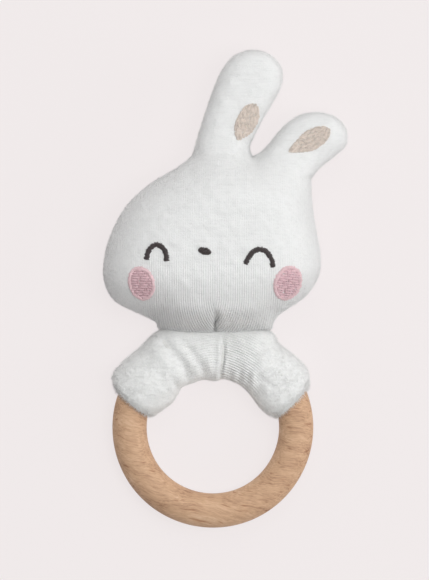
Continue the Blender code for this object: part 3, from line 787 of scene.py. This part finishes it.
def bend_at_ear(piece, base):
    """Works out two points just beyond an ear's base, which nothing uses, and bakes the piece's place into its
    points.
    """
    _, out = base_axes(base)
    middle = (base[0] + base[1]) / 2
    ends = [(*(middle + out * reach), seam_height) for reach in (0.2, 7.5)]
    start, end = (tuple(p) for p in to_world(ends))
    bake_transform(piece)


STUFFING_SKIN = 1.2
left_chord = chord(*left_base)
right_chord = chord(*right_base)
head_shape = edge_of(
    (head_left, False),
    (left_chord, True),
    (ear_right_edge[:1], False),
    (right_chord, True),
    (head_right, False),
    (neck_edge[1:-1], False),
)
ear_left_shape = edge_of((ear_left_edge, False), (left_chord[::-1], True))
ear_right_shape = edge_of((ear_right_edge, False), (right_chord[::-1], True))
head_skin = stuffed_piece("head_skin", *head_shape, velour)
ear_left_skin = stuffed_piece("ear_left_skin", *ear_left_shape, velour)
ear_right_skin = stuffed_piece("ear_right_skin", *ear_right_shape, velour)
head_stuffing = stuffed_piece("head_stuffing", *head_shape, fibre, skin=STUFFING_SKIN)
ear_left_stuffing = stuffed_piece("ear_left_stuffing", *ear_left_shape, fibre, skin=STUFFING_SKIN)
ear_right_stuffing = stuffed_piece("ear_right_stuffing", *ear_right_shape, fibre, skin=STUFFING_SKIN)
knit_face(head_skin)


def knit_ear(obj):
    """The ribs hardly show under an ear's pile."""
    points, _ = plan_of(obj)
    set_knit(obj, points[:, 1] / RIB_PITCH, np.full(len(points), 0.06))


knit_ear(ear_left_skin)
knit_ear(ear_right_skin)


# ---------------------------------------------------------------- arms and ring


def through_stations(values, per_span):
    """Catmull-Rom curve through evenly spaced stations, with the same number of steps in each span."""
    values = np.asarray(values, float).reshape(len(values), -1)
    padded = np.concatenate([2 * values[:1] - values[1:2], values, 2 * values[-1:] - values[-2:-1]])
    return catmull_rom(padded, per_span)


ring_turn = np.column_stack([np.cross([0, 1, 0], ring_axis), np.cross(ring_axis, [1, 0, 0]), ring_axis])
ring_turn[:, 0] = (1, 0, 0)


def from_ring_plane(points):
    """Points of the ring's own plane, in millimetres, to metres in the frame."""
    return (np.asarray(points, float) @ ring_turn.T + ring_middle) * MM


ARM_FOLDS = [  # line, depth and width
    (((-19.4, 32.2), (-15.0, 28.2), (-11.3, 23.8), (-8.6, 19.4), (-7.2, 16.4)), 0.95, 1.9),
    (((-10.4, 30.4), (-7.2, 26.4), (-4.6, 22.2), (-2.4, 17.8)), 0.75, 1.5),
    (((3.7, 31.4), (3.4, 25.0), (2.8, 19.5), (2.3, 15.4)), 1.2, 0.65),
    (((-26.5, 26.4), (-21.6, 21.8), (-17.8, 16.8)), 0.35, 2.8),
    (((9.6, 21.6), (9.4, 18.4), (8.9, 15.0)), 0.5, 0.8),
    (((12.8, 20.0), (12.2, 16.4), (11.2, 13.0)), 0.55, 0.9),
    (((17.6, 20.0), (15.6, 14.0), (14.0, 9.4)), 0.5, 1.5),
    (((-9.4, 19.4), (-8.8, 17.0), (-8.2, 14.4)), 0.35, 0.9),
    (((-13.6, 16.6), (-12.6, 14.4), (-11.6, 12.4)), 0.5, 0.8),
    (((6.3, 20.0), (6.2, 17.6), (5.8, 15.4)), 0.45, 0.65),
    (((19.6, 15.4), (18.4, 17.0), (16.6, 17.8)), 0.45, 1.1),
    (((20.5, 31.2), (16.0, 28.0), (12.5, 24.0)), 0.35, 1.9),
]
ARM_AROUND = 96
ARM_PER_SPAN = 14
LIP_ROWS = 7
LIP_REACH = 0.5
WRIST_ROUND = 1.2
WRIST_EDGE = 0.8


def arm_rows():
    """Rows of the sleeve's outside from wrist to wrist: superellipses between its inner and outer edges."""
    inner = through_stations([s[0] for s in ARM_STATIONS], ARM_PER_SPAN)
    outer = through_stations([s[1] for s in ARM_STATIONS], ARM_PER_SPAN)
    heights = through_stations(ARM_HALF_HEIGHTS, ARM_PER_SPAN)[:, 0]
    angles = np.linspace(0, 2 * math.pi, ARM_AROUND, endpoint=False)
    power = 2 / ARM_ROUNDNESS
    along = -np.sign(np.cos(angles)) * np.abs(np.cos(angles)) ** power
    lift = np.sign(np.sin(angles)) * np.abs(np.sin(angles)) ** power
    middle, half = (inner + outer) / 2, (outer - inner) / 2
    plan = middle[:, None, :] + along[None, :, None] * half[:, None, :]
    rows = np.concatenate([plan, (lift[None, :] * heights[:, None])[:, :, None]], axis=2)
    polar_in = np.unwrap(np.arctan2(inner[:, 1], inner[:, 0]))
    polar_out = np.unwrap(np.arctan2(outer[:, 1], outer[:, 0]))
    share = (1 - np.cos(angles)) / 2
    polar = polar_in[:, None] + (polar_out - polar_in)[:, None] * share[None, :]
    radius = RING_PITCH_R - CHANNEL_R * np.cos(angles)
    height = np.broadcast_to(CHANNEL_R * np.sin(angles), polar.shape)
    channel = np.stack([radius * np.cos(polar), radius * np.sin(polar), height], axis=2)
    return rounded_ends(rows, channel), channel


def rounded_ends(rows, channel):
    """Draws the cloth in towards the channel at both wrists, on a quarter of an ellipse along the arm."""
    line = rows.mean(axis=1)
    along = np.concatenate([[0], np.cumsum(np.linalg.norm(np.diff(line, axis=0), axis=1))])
    share = dome(np.minimum(along, along[-1] - along), WRIST_ROUND)
    keep = WRIST_EDGE + (1 - WRIST_EDGE) * share
    return channel + (rows - channel) * keep[:, None, None]


def crease_arms(rows):
    """Presses the folds into the front, and shallower ones into the back, with a low ridge beside each."""
    flat = rows.reshape(-1, 3)
    lift = np.abs(flat[:, 2]) / 9
    for points, fall, width in ARM_FOLDS:
        gap, along = distance_to_line(flat[:, :2], curve_through(points, 0.6))
        fade = np.clip(np.sin(np.pi * np.clip(along, 0.06, 0.97)) * 2.2, 0, 1)
        dent = -fall * np.exp(-((gap / width) ** 2))
        dent = dent + 0.35 * fall * np.exp(-(((gap - 2 * width) / width) ** 2))
        share = np.where(flat[:, 2] > 0, 1.0, -0.55)
        flat[:, 2] += dent * fade * share * smooth_step(lift * 2.5)
    uneven = 0.13 * lumps(flat, 4.2, 5) + 0.07 * lumps(flat, 1.9, 6)
    flat[:, 2] += uneven * np.sign(flat[:, 2]) * smooth_step(lift * 2.0)
    return flat.reshape(rows.shape)


def grid_faces(rows, around):
    """Quads of a grid that closes both ways."""
    i, j = np.meshgrid(np.arange(rows), np.arange(around), indexing="ij")
    i2, j2 = (i + 1) % rows, (j + 1) % around
    corners = [i * around + j, i2 * around + j, i2 * around + j2, i * around + j2]
    return np.stack(corners, axis=2).reshape(-1, 4)


def lip(outside, channel, outward):
    """Rows that roll the sleeve's edge over from its outside to its channel, on a half turn."""
    turn = np.linspace(0, math.pi, LIP_ROWS + 2)[1:-1]
    middle, half = (outside + channel) / 2, (outside - channel) / 2
    return [middle + half * math.cos(a) + outward * (LIP_REACH * math.sin(a)) for a in turn]


def make_arms():
    """The sleeve's cloth as one closed tube: outside, rolled wrist edges and the channel for the ring."""
    rows, channel = arm_rows()
    rows = crease_arms(rows)
    ends = []
    for index, step in ((0, 1), (-1, -2)):
        direction = rows[index].mean(axis=0) - rows[step].mean(axis=0)
        ends.append(direction / np.linalg.norm(direction))
    sparse = channel[:: ARM_PER_SPAN // 2][::-1]
    first_lip, last_lip = lip(rows[0], channel[0], ends[0]), lip(rows[-1], channel[-1], ends[1])
    loop = list(rows) + last_lip + list(sparse) + first_lip[::-1]
    points = from_ring_plane(np.array(loop).reshape(-1, 3))
    points[:, 2] = on_table(points[:, 2] / MM) * MM
    obj = new_piece("arms_skin", points, grid_faces(len(loop), ARM_AROUND), arm_velour)
    fix_normals(obj)
    return obj


def knit_arms(obj):
    """Courses follow the arms, a pitch apart from the ring's hole outwards, and fade under the paws' pile."""
    points, normals = plan_of(obj)
    x, y = points[:, 0], points[:, 1]
    radius = np.hypot(x, y + 3 * np.abs(x) / 30)
    right = smooth_step((x - 2.6) / 1.4) * smooth_step((19 - x) / 8)
    left = 0.3 * smooth_step((16 + x) / 8)
    strength = np.maximum(right, left * (x < 3.4)) * smooth_step((34 - y) / 3)
    set_knit(obj, radius / COURSE_PITCH, 0.08 + 1.1 * strength)


arms_skin = make_arms()
knit_arms(arms_skin)


def make_ring():
    """A turned torus, with the faint flats and waver that sanding leaves."""
    around, across = 288, 72
    u = np.linspace(0, 2 * math.pi, around, endpoint=False)[:, None]
    v = np.linspace(0, 2 * math.pi, across, endpoint=False)[None, :]
    tube = RING_TUBE_R + 0.03 * np.sin(5 * u + 1) * np.cos(v) - 0.025 * np.cos(4 * v)
    radius = RING_PITCH_R + tube * np.cos(v)
    height = tube * np.sin(v) * RING_HALF_HEIGHT / RING_TUBE_R
    points = np.stack([radius * np.cos(u), radius * np.sin(u), height], axis=2).reshape(-1, 3)
    obj = new_piece("beech_ring", from_ring_plane(points), grid_faces(around, across), beech)
    fix_normals(obj)
    return obj


beech_ring = make_ring()


# ---------------------------------------------------------------- stitches


def tree_of(*objects):
    """A search tree over the meshes of several objects."""
    points, faces = [], []
    for obj in objects:
        base = len(points)
        points += [v.co.copy() for v in obj.data.vertices]
        faces += [[base + i for i in p.vertices] for p in obj.data.polygons]
    return BVHTree.FromPolygons(points, faces)


def on_cloth(tree, places, side=1):
    """Points and normals of the cloth's front (side 1) or back (side -1) at plan places, in metres."""
    world = to_world(np.column_stack([places, np.full(len(places), 90.0 * side)]))
    points, normals = world.copy(), np.zeros_like(world)
    for k, place in enumerate(world):
        hit, normal, _, _ = tree.ray_cast(Vector(place), Vector((0, 0, -side)))
        if hit is not None:
            points[k], normals[k] = hit, normal
    return points, normals


STITCH_POINTS = 7
STITCH_SIDES = 6


def thread_tubes(centre, normals, width):
    """Points and faces of six-sided threads along rows of points, flattened and drawn in at both ends."""
    count, steps = centre.shape[:2]
    tangent = np.gradient(centre, axis=1)
    tangent = tangent / np.linalg.norm(tangent, axis=2)[:, :, None]
    side = np.cross(tangent, normals)
    side = side / np.linalg.norm(side, axis=2)[:, :, None]
    up = np.cross(side, tangent)
    t = np.linspace(0, 1, steps)
    taper = (0.35 + 0.65 * np.sin(np.pi * np.clip(t, 0.04, 0.96)) ** 0.4)[None, :, None, None]
    angles = np.linspace(0, 2 * math.pi, STITCH_SIDES, endpoint=False)
    ring = side[:, :, None, :] * np.cos(angles)[None, None, :, None] * 0.5
    ring = ring + up[:, :, None, :] * np.sin(angles)[None, None, :, None] * 0.42
    points = (centre[:, :, None, :] + ring * taper * width).reshape(-1, 3)
    per = steps * STITCH_SIDES
    i, j = np.meshgrid(np.arange(steps - 1), np.arange(STITCH_SIDES), indexing="ij")
    k = (j + 1) % STITCH_SIDES
    low_ring, high_ring = i * STITCH_SIDES, (i + 1) * STITCH_SIDES
    corners = (low_ring + j, high_ring + j, high_ring + k, low_ring + k)
    quads = np.stack(corners, axis=2).reshape(-1, 4)
    starts = (np.arange(count) * per)[:, None, None]
    faces = (quads[None] + starts).reshape(-1, 4).tolist()
    caps = np.array([list(range(STITCH_SIDES))[::-1], list(range(per - STITCH_SIDES, per))])
    faces += (caps[None] + starts).reshape(-1, STITCH_SIDES).tolist()
    return points, faces


def stitches(name, tree, layers, material, side=1):
    """Threads laid on the cloth in layers, each (ends, width, crown): every stitch goes from one plan place
    to another as a bowed tube whose ends dive into the cloth."""
    points, faces, total = [], [], 0
    t = np.linspace(0, 1, STITCH_POINTS)[None, :, None]
    for ends, width, crown in layers:
        ends = np.asarray(ends, float)
        plan = ends[:, None, 0, :] * (1 - t) + ends[:, None, 1, :] * t
        base, normals = on_cloth(tree, plan.reshape(-1, 2), side)
        base = base.reshape(-1, STITCH_POINTS, 3)
        normals = normals.reshape(-1, STITCH_POINTS, 3)
        bow = np.sin(np.pi * t[..., 0]) ** 0.7 * (crown + width * 0.7) - width * 0.7 + 0.05
        more, quads = thread_tubes(base + normals * bow[..., None] * MM, normals, width * MM)
        points.append(more)
        faces += [[total + i for i in face] for face in quads]
        total += len(more)
    points = np.concatenate(points)
    points[:, 2] = np.maximum(points[:, 2], TABLE_GAP * MM)
    obj = new_piece(name, points, faces, material)
    fix_normals(obj)
    return obj


def across_path(path, width, spacing, jitter, rng):
    """Satin stitches square to a path."""
    line = curve_through(path, spacing)
    tangent = np.gradient(line, axis=0)
    tangent = tangent / np.linalg.norm(tangent, axis=1)[:, None]
    away = np.column_stack([-tangent[:, 1], tangent[:, 0]])
    reach = width / 2 + rng.uniform(-jitter, jitter, (len(line), 2))
    slant = tangent * rng.uniform(-0.06, 0.06, len(line))[:, None]
    return np.stack([line + away * reach[:, :1] + slant, line - away * reach[:, 1:]], axis=1)


def fill_rows(outline, angle, pitch, length, rng, even=1.0):
    """Rows of running stitches that fill an outline at an angle, each row a third of a stitch further on and
    up to a given share of one out of step."""
    a = math.radians(angle)
    along, up = np.array([math.cos(a), math.sin(a)]), np.array([-math.sin(a), math.cos(a)])
    u, v = outline @ along, outline @ up
    ends = []
    for row, level in enumerate(np.arange(v.min() + pitch / 2, v.max(), pitch)):
        crossings = []
        for k in range(len(outline)):
            v0, v1 = v[k - 1], v[k]
            if (v0 > level) != (v1 > level):
                crossings.append(u[k - 1] + (level - v0) * (u[k] - u[k - 1]) / (v1 - v0))
        crossings.sort()
        for start, stop in zip(crossings[::2], crossings[1::2]):
            cuts = np.arange(start - (row % 3 / 3 + rng.uniform(0, even)) * length, stop, length)
            cuts = np.clip(np.append(cuts, stop), start, stop)
            for left, right in zip(cuts[:-1], cuts[1:]):
                if right - left > 0.25:
                    wobble = rng.uniform(-0.05, 0.05, 2)
                    low, high = level + wobble
                    ends.append([along * left + up * low, along * right + up * high])
    return np.array(ends)


def ellipse(centre, half_width, half_height, turn, count=72):
    """Points of a turned ellipse."""
    a = np.linspace(0, 2 * math.pi, count, endpoint=False)
    flat = np.column_stack([np.cos(a) * half_width, np.sin(a) * half_height])
    t = math.radians(turn)
    return flat @ np.array([[math.cos(t), math.sin(t)], [-math.sin(t), math.cos(t)]]) + centre


EYE_LEFT = [
    (-22.9, 59.0), (-22.4, 61.2), (-21.2, 63.1), (-19.3, 63.9),
    (-17.4, 63.1), (-16.3, 61.1), (-15.9, 58.5),
]
EYE_RIGHT = [(11.3, 57.4), (12.4, 59.7), (14.2, 61.6), (16.5, 62.3), (18.7, 61.3), (20.2, 59.0), (20.8, 56.4)]
NOSE = ellipse((-2.8, 61.7), 2.3, 1.35, -12)
CHEEK_LEFT = ((-24.6, 50.6), 4.65, 6.0, 17)
CHEEK_RIGHT = ((25.9, 50.7), 4.85, 6.2, -24)
PATCH_LEFT = [
    (8.6, 100.3), (12.6, 102.4), (15.2, 105.8), (16.2, 109.4), (15.6, 112.4),
    (13.4, 113.1), (10.9, 111.9), (8.7, 108.6), (7.5, 105.0),
]
PATCH_RIGHT = [
    (26.3, 96.4), (30.4, 96.1), (34.6, 96.7), (38.4, 98.9), (40.7, 101.9),
    (40.4, 104.4), (37.4, 105.3), (32.6, 103.7), (28.9, 100.2),
]
BORDER = 1.35


def make_eye(name, path, tree, rng):
    ends = across_path(path, 1.95, 0.36, 0.2, rng)
    return stitches(name, tree, [(ends, 0.5, 0.42)], brown_thread)


def make_cheek(name, spot, tree, rng):
    """A ground of the pink thread painted darker, for painted shade between the rows, level rows over it, and
    a satin border over its edge in the pink thread painted lighter, for painted light on it.
    """
    centre, half_width, half_height, turn = spot
    ground = ellipse(centre, half_width - BORDER * 0.4, half_height - BORDER * 0.4, turn)
    inner = ellipse(centre, half_width - BORDER * 0.85, half_height - BORDER * 0.85, turn)
    ground_rows = fill_rows(ground, 90, 0.4, 7.0, rng)
    under = stitches(name + "_ground", tree, [(ground_rows, 0.8, 0.08)], pink_ground_thread_painted_darker)
    rows = fill_rows(inner, turn * 0.1 - 3, 0.8, 3.6, rng)
    span = rows - rows[:, ::-1]
    rows = rows + span / np.linalg.norm(span, axis=2, keepdims=True) * 0.45
    fill = stitches(name + "_fill", tree, [(rows, 0.68, 0.3)], pink_thread)
    path = ellipse(centre, half_width - BORDER / 2, half_height - BORDER / 2, turn)
    path = np.concatenate([path, path[:1]])
    edge = [(across_path(path, BORDER, 0.36, 0.22, rng), 0.5, 0.42)]
    return under, fill, stitches(name + "_border", tree, edge, pink_edge_thread_painted_lighter)


def make_patch(name, outline, angle, tree, rng):
    outline = curve_through(outline, 0.5, closed=True)
    under = fill_rows(outline * 0.94 + outline.mean(axis=0) * 0.06, angle + 90, 0.5, 5.0, rng)
    layers = [(under, 0.62, 0.06), (fill_rows(outline, angle, 0.42, 1.35, rng), 0.48, 0.3)]
    return stitches(name, tree, layers, beige_thread)


rng = np.random.default_rng(7)
face_tree = tree_of(head_skin)
eyes = [
    make_eye("eye_left_stitches", EYE_LEFT, face_tree, rng),
    make_eye("eye_right_stitches", EYE_RIGHT, face_tree, rng),
]
nose = stitches("nose_stitches", face_tree, [(fill_rows(NOSE, 60, 0.36, 9.0, rng), 0.48, 0.55)], brown_thread)
cheek_left = make_cheek("cheek_left", CHEEK_LEFT, face_tree, rng)
cheek_right = make_cheek("cheek_right", CHEEK_RIGHT, face_tree, rng)
ear_stitches = {}
for side, base, skins in (("left", left_base, (head_skin, ear_left_skin)), ("right", right_base, (head_skin, ear_right_skin))):
    line = curve_through([base[0] * 0.86 + base[1] * 0.14, base[0] * 0.14 + base[1] * 0.86], 1.9)
    ends = across_path(line, 2.2, 1.9, 0.2, rng)
    ends[:, 0] += (line[1] - line[0]) * 0.3
    ear_stitches[side] = stitches(f"ear_{side}_sewing", tree_of(*skins), [(ends, 0.36, 0.1)], white_thread, side=-1)
neck_line = curve_through([(-17.0, 35.6), (-9.0, 35.2), (0.0, 35.1), (9.0, 35.2), (17.0, 35.6)], 2.1)
neck_ends = across_path(neck_line, 2.0, 2.1, 0.2, rng)
neck_tree = tree_of(head_skin, arms_skin)
neck_stitches = stitches("neck_sewing", neck_tree, [(neck_ends, 0.4, 0.12)], white_thread, side=-1)
patch_left = make_patch("ear_left_patch_stitches", PATCH_LEFT, -28, tree_of(ear_left_skin), rng)
patch_right = make_patch("ear_right_patch_stitches", PATCH_RIGHT, -60, tree_of(ear_right_skin), rng)


def ladder(name, rows, columns, every, width, crown, material):
    """Short stitches across a seam of the arms' cloth, from one column of its grid to another."""
    picked = rows[LIP_ROWS : -LIP_ROWS : every]
    start, stop = picked[:, columns[0]], picked[:, columns[1]]
    middle = picked[:, (columns[0] + columns[1]) // 2]
    t = np.linspace(0, 1, STITCH_POINTS)[None, :, None]
    pull = (2 * middle - (start + stop) / 2)[:, None]
    line = start[:, None] * (1 - t) ** 2 + 2 * t * (1 - t) * pull + stop[:, None] * t**2
    out = middle - picked.mean(axis=1)
    out = out / np.linalg.norm(out, axis=1)[:, None]
    bow = np.sin(np.pi * t) ** 0.7 * (crown + width) - width
    line = line + out[:, None, :] * bow
    normals = np.broadcast_to(out[:, None, :], line.shape)
    placed = from_ring_plane(line.reshape(-1, 3)).reshape(line.shape)
    points, faces = thread_tubes(placed, normals, width * MM)
    obj = new_piece(name, points, faces, material)
    fix_normals(obj)
    return obj


arm_grid = crease_arms(arm_rows()[0])
closing_stitches = ladder(
    "closing_stitches", arm_grid, (ARM_AROUND - 4, ARM_AROUND - 1), 9, 0.34, 0.12, white_thread
)


# ---------------------------------------------------------------- pile

FIBRE_SPREAD = 0.042


def make_pile(
    name, obj, per_mm2, length, seed, weight, grow=None, lean=0.55, comb=None, thick=1.0, material=velour_pile
):
    """Loose fibre tips scattered over a cloth: each a thin three-sided spike from a random place of a random
    triangle, drawn with a chance in step with area and weight, standing off the normal by a random lean."""
    draw = np.random.default_rng(seed)
    obj.data.calc_loop_triangles()
    count = len(obj.data.loop_triangles)
    index = np.zeros(count * 3, np.int32)
    obj.data.loop_triangles.foreach_get("vertices", index)
    index = index.reshape(-1, 3)
    places, normals = plan_of(obj)
    a, b, c = places[index[:, 0]], places[index[:, 1]], places[index[:, 2]]
    cross = np.cross(b - a, c - a)
    area = np.linalg.norm(cross, axis=1) / 2
    middle = (a + b + c) / 3
    share = area * weight(middle, cross)
    total = int(share.sum() * per_mm2)
    pick = draw.choice(count, total, p=share / share.sum())
    u, v = draw.random((2, total))
    flip = u + v > 1
    u[flip], v[flip] = 1 - u[flip], 1 - v[flip]
    root = a[pick] + (b - a)[pick] * u[:, None] + (c - a)[pick] * v[:, None]
    na, nb, nc = normals[index[pick, 0]], normals[index[pick, 1]], normals[index[pick, 2]]
    out = na * (1 - u - v)[:, None] + nb * u[:, None] + nc * v[:, None]
    out = out / np.linalg.norm(out, axis=1)[:, None]
    stray = draw.normal(size=(total, 3))
    stray = stray - out * (stray * out).sum(axis=1)[:, None]
    reach = length * draw.uniform(0.45, 1.35, total)
    if grow is not None:
        reach = reach * grow(root)
    tip = root + (out + stray * lean) * reach[:, None]
    if comb is not None:
        tip = tip + comb(root) * reach[:, None]
    side = stray / np.linalg.norm(stray, axis=1)[:, None]
    other = np.cross(out, side)
    spread = thick * FIBRE_SPREAD * draw.uniform(0.7, 1.4, total)[:, None]
    foot = root - out * 0.08
    corners = [foot + side * spread, foot - side * spread / 2 + other * spread * 0.87]
    corners += [foot - side * spread / 2 - other * spread * 0.87, tip]
    points = np.stack(corners, axis=1).reshape(-1, 3)
    points[:, 2] = np.maximum(points[:, 2], TABLE_GAP)
    faces = np.array([[0, 1, 3], [1, 2, 3], [2, 0, 3], [0, 2, 1]])
    faces = (faces[None] + 4 * np.arange(total)[:, None, None]).reshape(-1, 3)
    return new_piece(name, to_world(points), faces, material)


def clear_of_stitches(places, cross):
    """Most fibres stand where the cloth turns away, few on the flat front and back, and none under thread."""
    upright = cross[:, 2] / np.maximum(np.linalg.norm(cross, axis=1), 1e-12)
    keep = 0.18 + 0.82 * smooth_step((0.86 - np.abs(upright)) / 0.3)
    plan = places[:, :2]
    for path in (EYE_LEFT, EYE_RIGHT):
        gap, _ = distance_to_line(plan, curve_through(path, 0.6))
        keep = keep * ((gap > 1.15) | (cross[:, 2] < 0))
    closed = [NOSE]
    for centre, half_width, half_height, turn in (CHEEK_LEFT, CHEEK_RIGHT):
        closed.append(ellipse(centre, half_width - 0.3, half_height - 0.3, turn))
    closed += [curve_through(PATCH_LEFT, 0.5, closed=True), curve_through(PATCH_RIGHT, 0.5, closed=True)]
    for outline in closed:
        keep = keep * (~inside_polygon(plan, outline) | (cross[:, 2] < 0))
    return keep


def face_growth(places):
    """The pile is worn short where the ribs show on the lower face."""
    ribs = smooth_step((60 - places[:, 1]) / 14) * smooth_step((28 - np.abs(places[:, 0])) / 10)
    return 1 - 0.45 * ribs * (places[:, 2] > seam_height)


def near_wrist(places):
    """1 at a wrist's edge, fading to 0 a little way up the paw."""
    left, _ = distance_to_line(places[:, :2], np.array([ARM_STATIONS[0][0], ARM_STATIONS[0][1]]))
    right, _ = distance_to_line(places[:, :2], np.array([ARM_STATIONS[-1][0], ARM_STATIONS[-1][1]]))
    return smooth_step((2.6 - np.minimum(left, right)) / 2.0)


def paw_growth(places):
    """Longer at the paws, longest round the wrists, and short over the gathered middle."""
    paws = smooth_step((np.abs(places[:, 0] + 0.5) - 12) / 12)
    return 0.65 + 0.65 * paws + 0.25 * near_wrist(places)


head_pile = make_pile("head_pile", head_skin, 7.0, 0.48, 11, clear_of_stitches, face_growth)
ear_left_pile = make_pile("ear_left_pile", ear_left_skin, 8.0, 0.52, 12, clear_of_stitches)
ear_right_pile = make_pile("ear_right_pile", ear_right_skin, 8.0, 0.52, 13, clear_of_stitches)


def outside_of_sleeve(places, cross):
    """Only the outside of the sleeve has pile, not the channel round the ring."""
    flat = (places - ring_middle * (0, 0, 1)) @ ring_turn
    from_pitch = np.hypot(np.hypot(flat[:, 0], flat[:, 1]) - RING_PITCH_R, flat[:, 2])
    facing = np.where(cross[:, 2] > 0, 1.0, 0.6)
    return (from_pitch > CHANNEL_R + 0.12) * facing * (1 + 0.8 * near_wrist(places))


def combed_to_ring(places):
    """Along the ring, away from the arms, more and more towards the wrists."""
    x, y = places[:, 0], places[:, 1]
    away = np.column_stack([y, -x, 0 * x]) * (np.sign(x) / np.hypot(x, y))[:, None]
    return away * (0.25 + 0.35 * near_wrist(places))[:, None]


def on_paws(places, cross):
    """Tufts stand mostly on the paws."""
    paws = smooth_step((np.abs(places[:, 0] + 0.5) - 7) / 12)
    return outside_of_sleeve(places, cross) * (0.2 + 0.8 * paws)


arms_pile = make_pile(
    "arms_pile", arms_skin, 6.5, 0.5, 14, outside_of_sleeve, paw_growth,
    lean=0.7, comb=combed_to_ring, material=arm_pile,
)
arms_tufts = make_pile(
    "arms_tufts", arms_skin, 1.3, 0.55, 15, on_paws, paw_growth,
    lean=0.8, comb=combed_to_ring, thick=1.5, material=arm_pile,
)


# ---------------------------------------------------------------- what rides on what

for piece, nodes in (
    (head_skin, ("head_front", "head_back")),
    (arms_skin, ("sleeve_front", "sleeve_back")),
    (ear_left_skin, ("ear_left_front", "ear_left_back")),
    (ear_right_skin, ("ear_right_front", "ear_right_back")),
):
    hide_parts(*nodes)
for piece, node, body in (
    (closing_stitches, "closing_thread", "sleeve"),
    (neck_stitches, "neck_thread", "sleeve"),
    (ear_stitches["left"], "ear_left_thread", "head"),
    (ear_stitches["right"], "ear_right_thread", "head"),
):
    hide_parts(node)
    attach(piece, body)
for piece in (arms_skin, arms_pile, arms_tufts):
    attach(piece, "sleeve")
for piece in (head_skin, head_stuffing, head_pile):
    bend_at_neck(piece)
for piece in (ear_left_skin, ear_left_stuffing, ear_left_pile):
    bend_at_ear(piece, left_base)
for piece in (ear_right_skin, ear_right_stuffing, ear_right_pile):
    bend_at_ear(piece, right_base)
for piece, nodes in (
    (head_stuffing, ("head_filling_front", "head_filling_back")),
    (ear_left_stuffing, ("ear_left_filling",)),
    (ear_right_stuffing, ("ear_right_filling",)),
):
    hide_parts(*nodes)
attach(beech_ring, "ring")
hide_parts("wooden_ring")
for piece, node, slot in (
    (eyes[0], "eye_left", "brown_thread"),
    (eyes[1], "eye_right", "brown_thread"),
    (nose, "nose", "brown_thread"),
    *((piece, "cheek_left", "pink_thread") for piece in cheek_left),
    *((piece, "cheek_right", "pink_thread") for piece in cheek_right),
):
    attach(piece, "head")
    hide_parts(node)
for piece, side, base in ((patch_left, "left", left_base), (patch_right, "right", right_base)):
    bend_at_ear(piece, base)
    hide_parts(f"ear_{side}_patch")

for prefix, material in (
    ("sleeve_wadding", fibre),
    ("rattle_shell", shell_plastic),
    ("bead_", bead_plastic),
):
    for name, node in frame["nodes"].items():
        if name.startswith(prefix):
            node.data.materials.clear()
            node.data.materials.append(material)


# ---------------------------------------------------------------- floor, light and camera

FLOOR_COLOUR = (0.876, 0.828, 0.828)
FLOOR_GLOW = 0.88


def make_floor():
    """A pale floor that mostly glows by itself, so that only the faintest shadow falls on it."""
    material = bpy.data.materials.new("floor")
    material.use_nodes = True
    shader = material.node_tree.nodes["Principled BSDF"]
    shader.inputs["Base Color"].default_value = (*shade_of(FLOOR_COLOUR, 1 - FLOOR_GLOW), 1)
    shader.inputs["Roughness"].default_value = 1
    shader.inputs["Specular IOR Level"].default_value = 0
    shader.inputs["Emission Color"].default_value = (*FLOOR_COLOUR, 1)
    shader.inputs["Emission Strength"].default_value = FLOOR_GLOW
    size = 6.0
    corners = [(-size, -size, -0.0004), (size, -size, -0.0004), (size, size, -0.0004), (-size, size, -0.0004)]
    floor = new_piece("floor", corners, [(0, 1, 2, 3)], material, smooth=False)


# Softboxes round the table: azimuth from +X, elevation, power in watts
SOFTBOXES = {
    "right": (0, 28, 2.9),
    "upper_right": (60, 28, 1.5),
    "upper_left": (120, 28, 1.6),
    "left": (180, 28, 1.0),
    "lower_right": (300, 28, 1.8),
    "high_right": (0, 62, 2.2),
    "high_back": (90, 62, 2.9),
    "overhead": (0, 79, 5.2),
}
SOFTBOX_SIZE = 0.55
SOFTBOX_DISTANCE = 1.2
LIGHT_TARGET = Vector((0, 0, 0.01))


def add_softbox(name, azimuth, elevation, power):
    data = bpy.data.lights.new(name, "AREA")
    data.size = SOFTBOX_SIZE
    data.energy = power
    light = bpy.data.objects.new(name, data)
    turn, rise = math.radians(azimuth), math.radians(elevation)
    toward = Vector((math.cos(rise) * math.cos(turn), math.cos(rise) * math.sin(turn), math.sin(rise)))
    light.location = toward * SOFTBOX_DISTANCE
    light.rotation_euler = (LIGHT_TARGET - light.location).to_track_quat("-Z", "Y").to_euler()
    bpy.context.scene.collection.objects.link(light)


make_floor()
for name, (azimuth, elevation, power) in SOFTBOXES.items():
    add_softbox(name, azimuth, elevation, power)
world = bpy.data.worlds.new("studio")
world.use_nodes = True
world.node_tree.nodes["Background"].inputs["Color"].default_value = (1, 1, 1, 1)
world.node_tree.nodes["Background"].inputs["Strength"].default_value = 0.1
scene = bpy.context.scene
scene.world = world
scene.view_settings.view_transform = "Standard"

VIEW_MIDDLE = (0.6, 48.3)
IMAGE_HEIGHT = 580
MM_PER_LINE = 0.35
VIEW_HEIGHT = IMAGE_HEIGHT * MM_PER_LINE * MM
CAMERA_DISTANCE = 1.5
camera_data = bpy.data.cameras.new("camera")
camera_data.sensor_width = 36
camera_data.lens = camera_data.sensor_width * CAMERA_DISTANCE / VIEW_HEIGHT
camera = bpy.data.objects.new("camera", camera_data)
camera.location = to_world([(*VIEW_MIDDLE, 12.0)])[0]
camera.location.z += CAMERA_DISTANCE
scene.collection.objects.link(camera)
scene.camera = camera
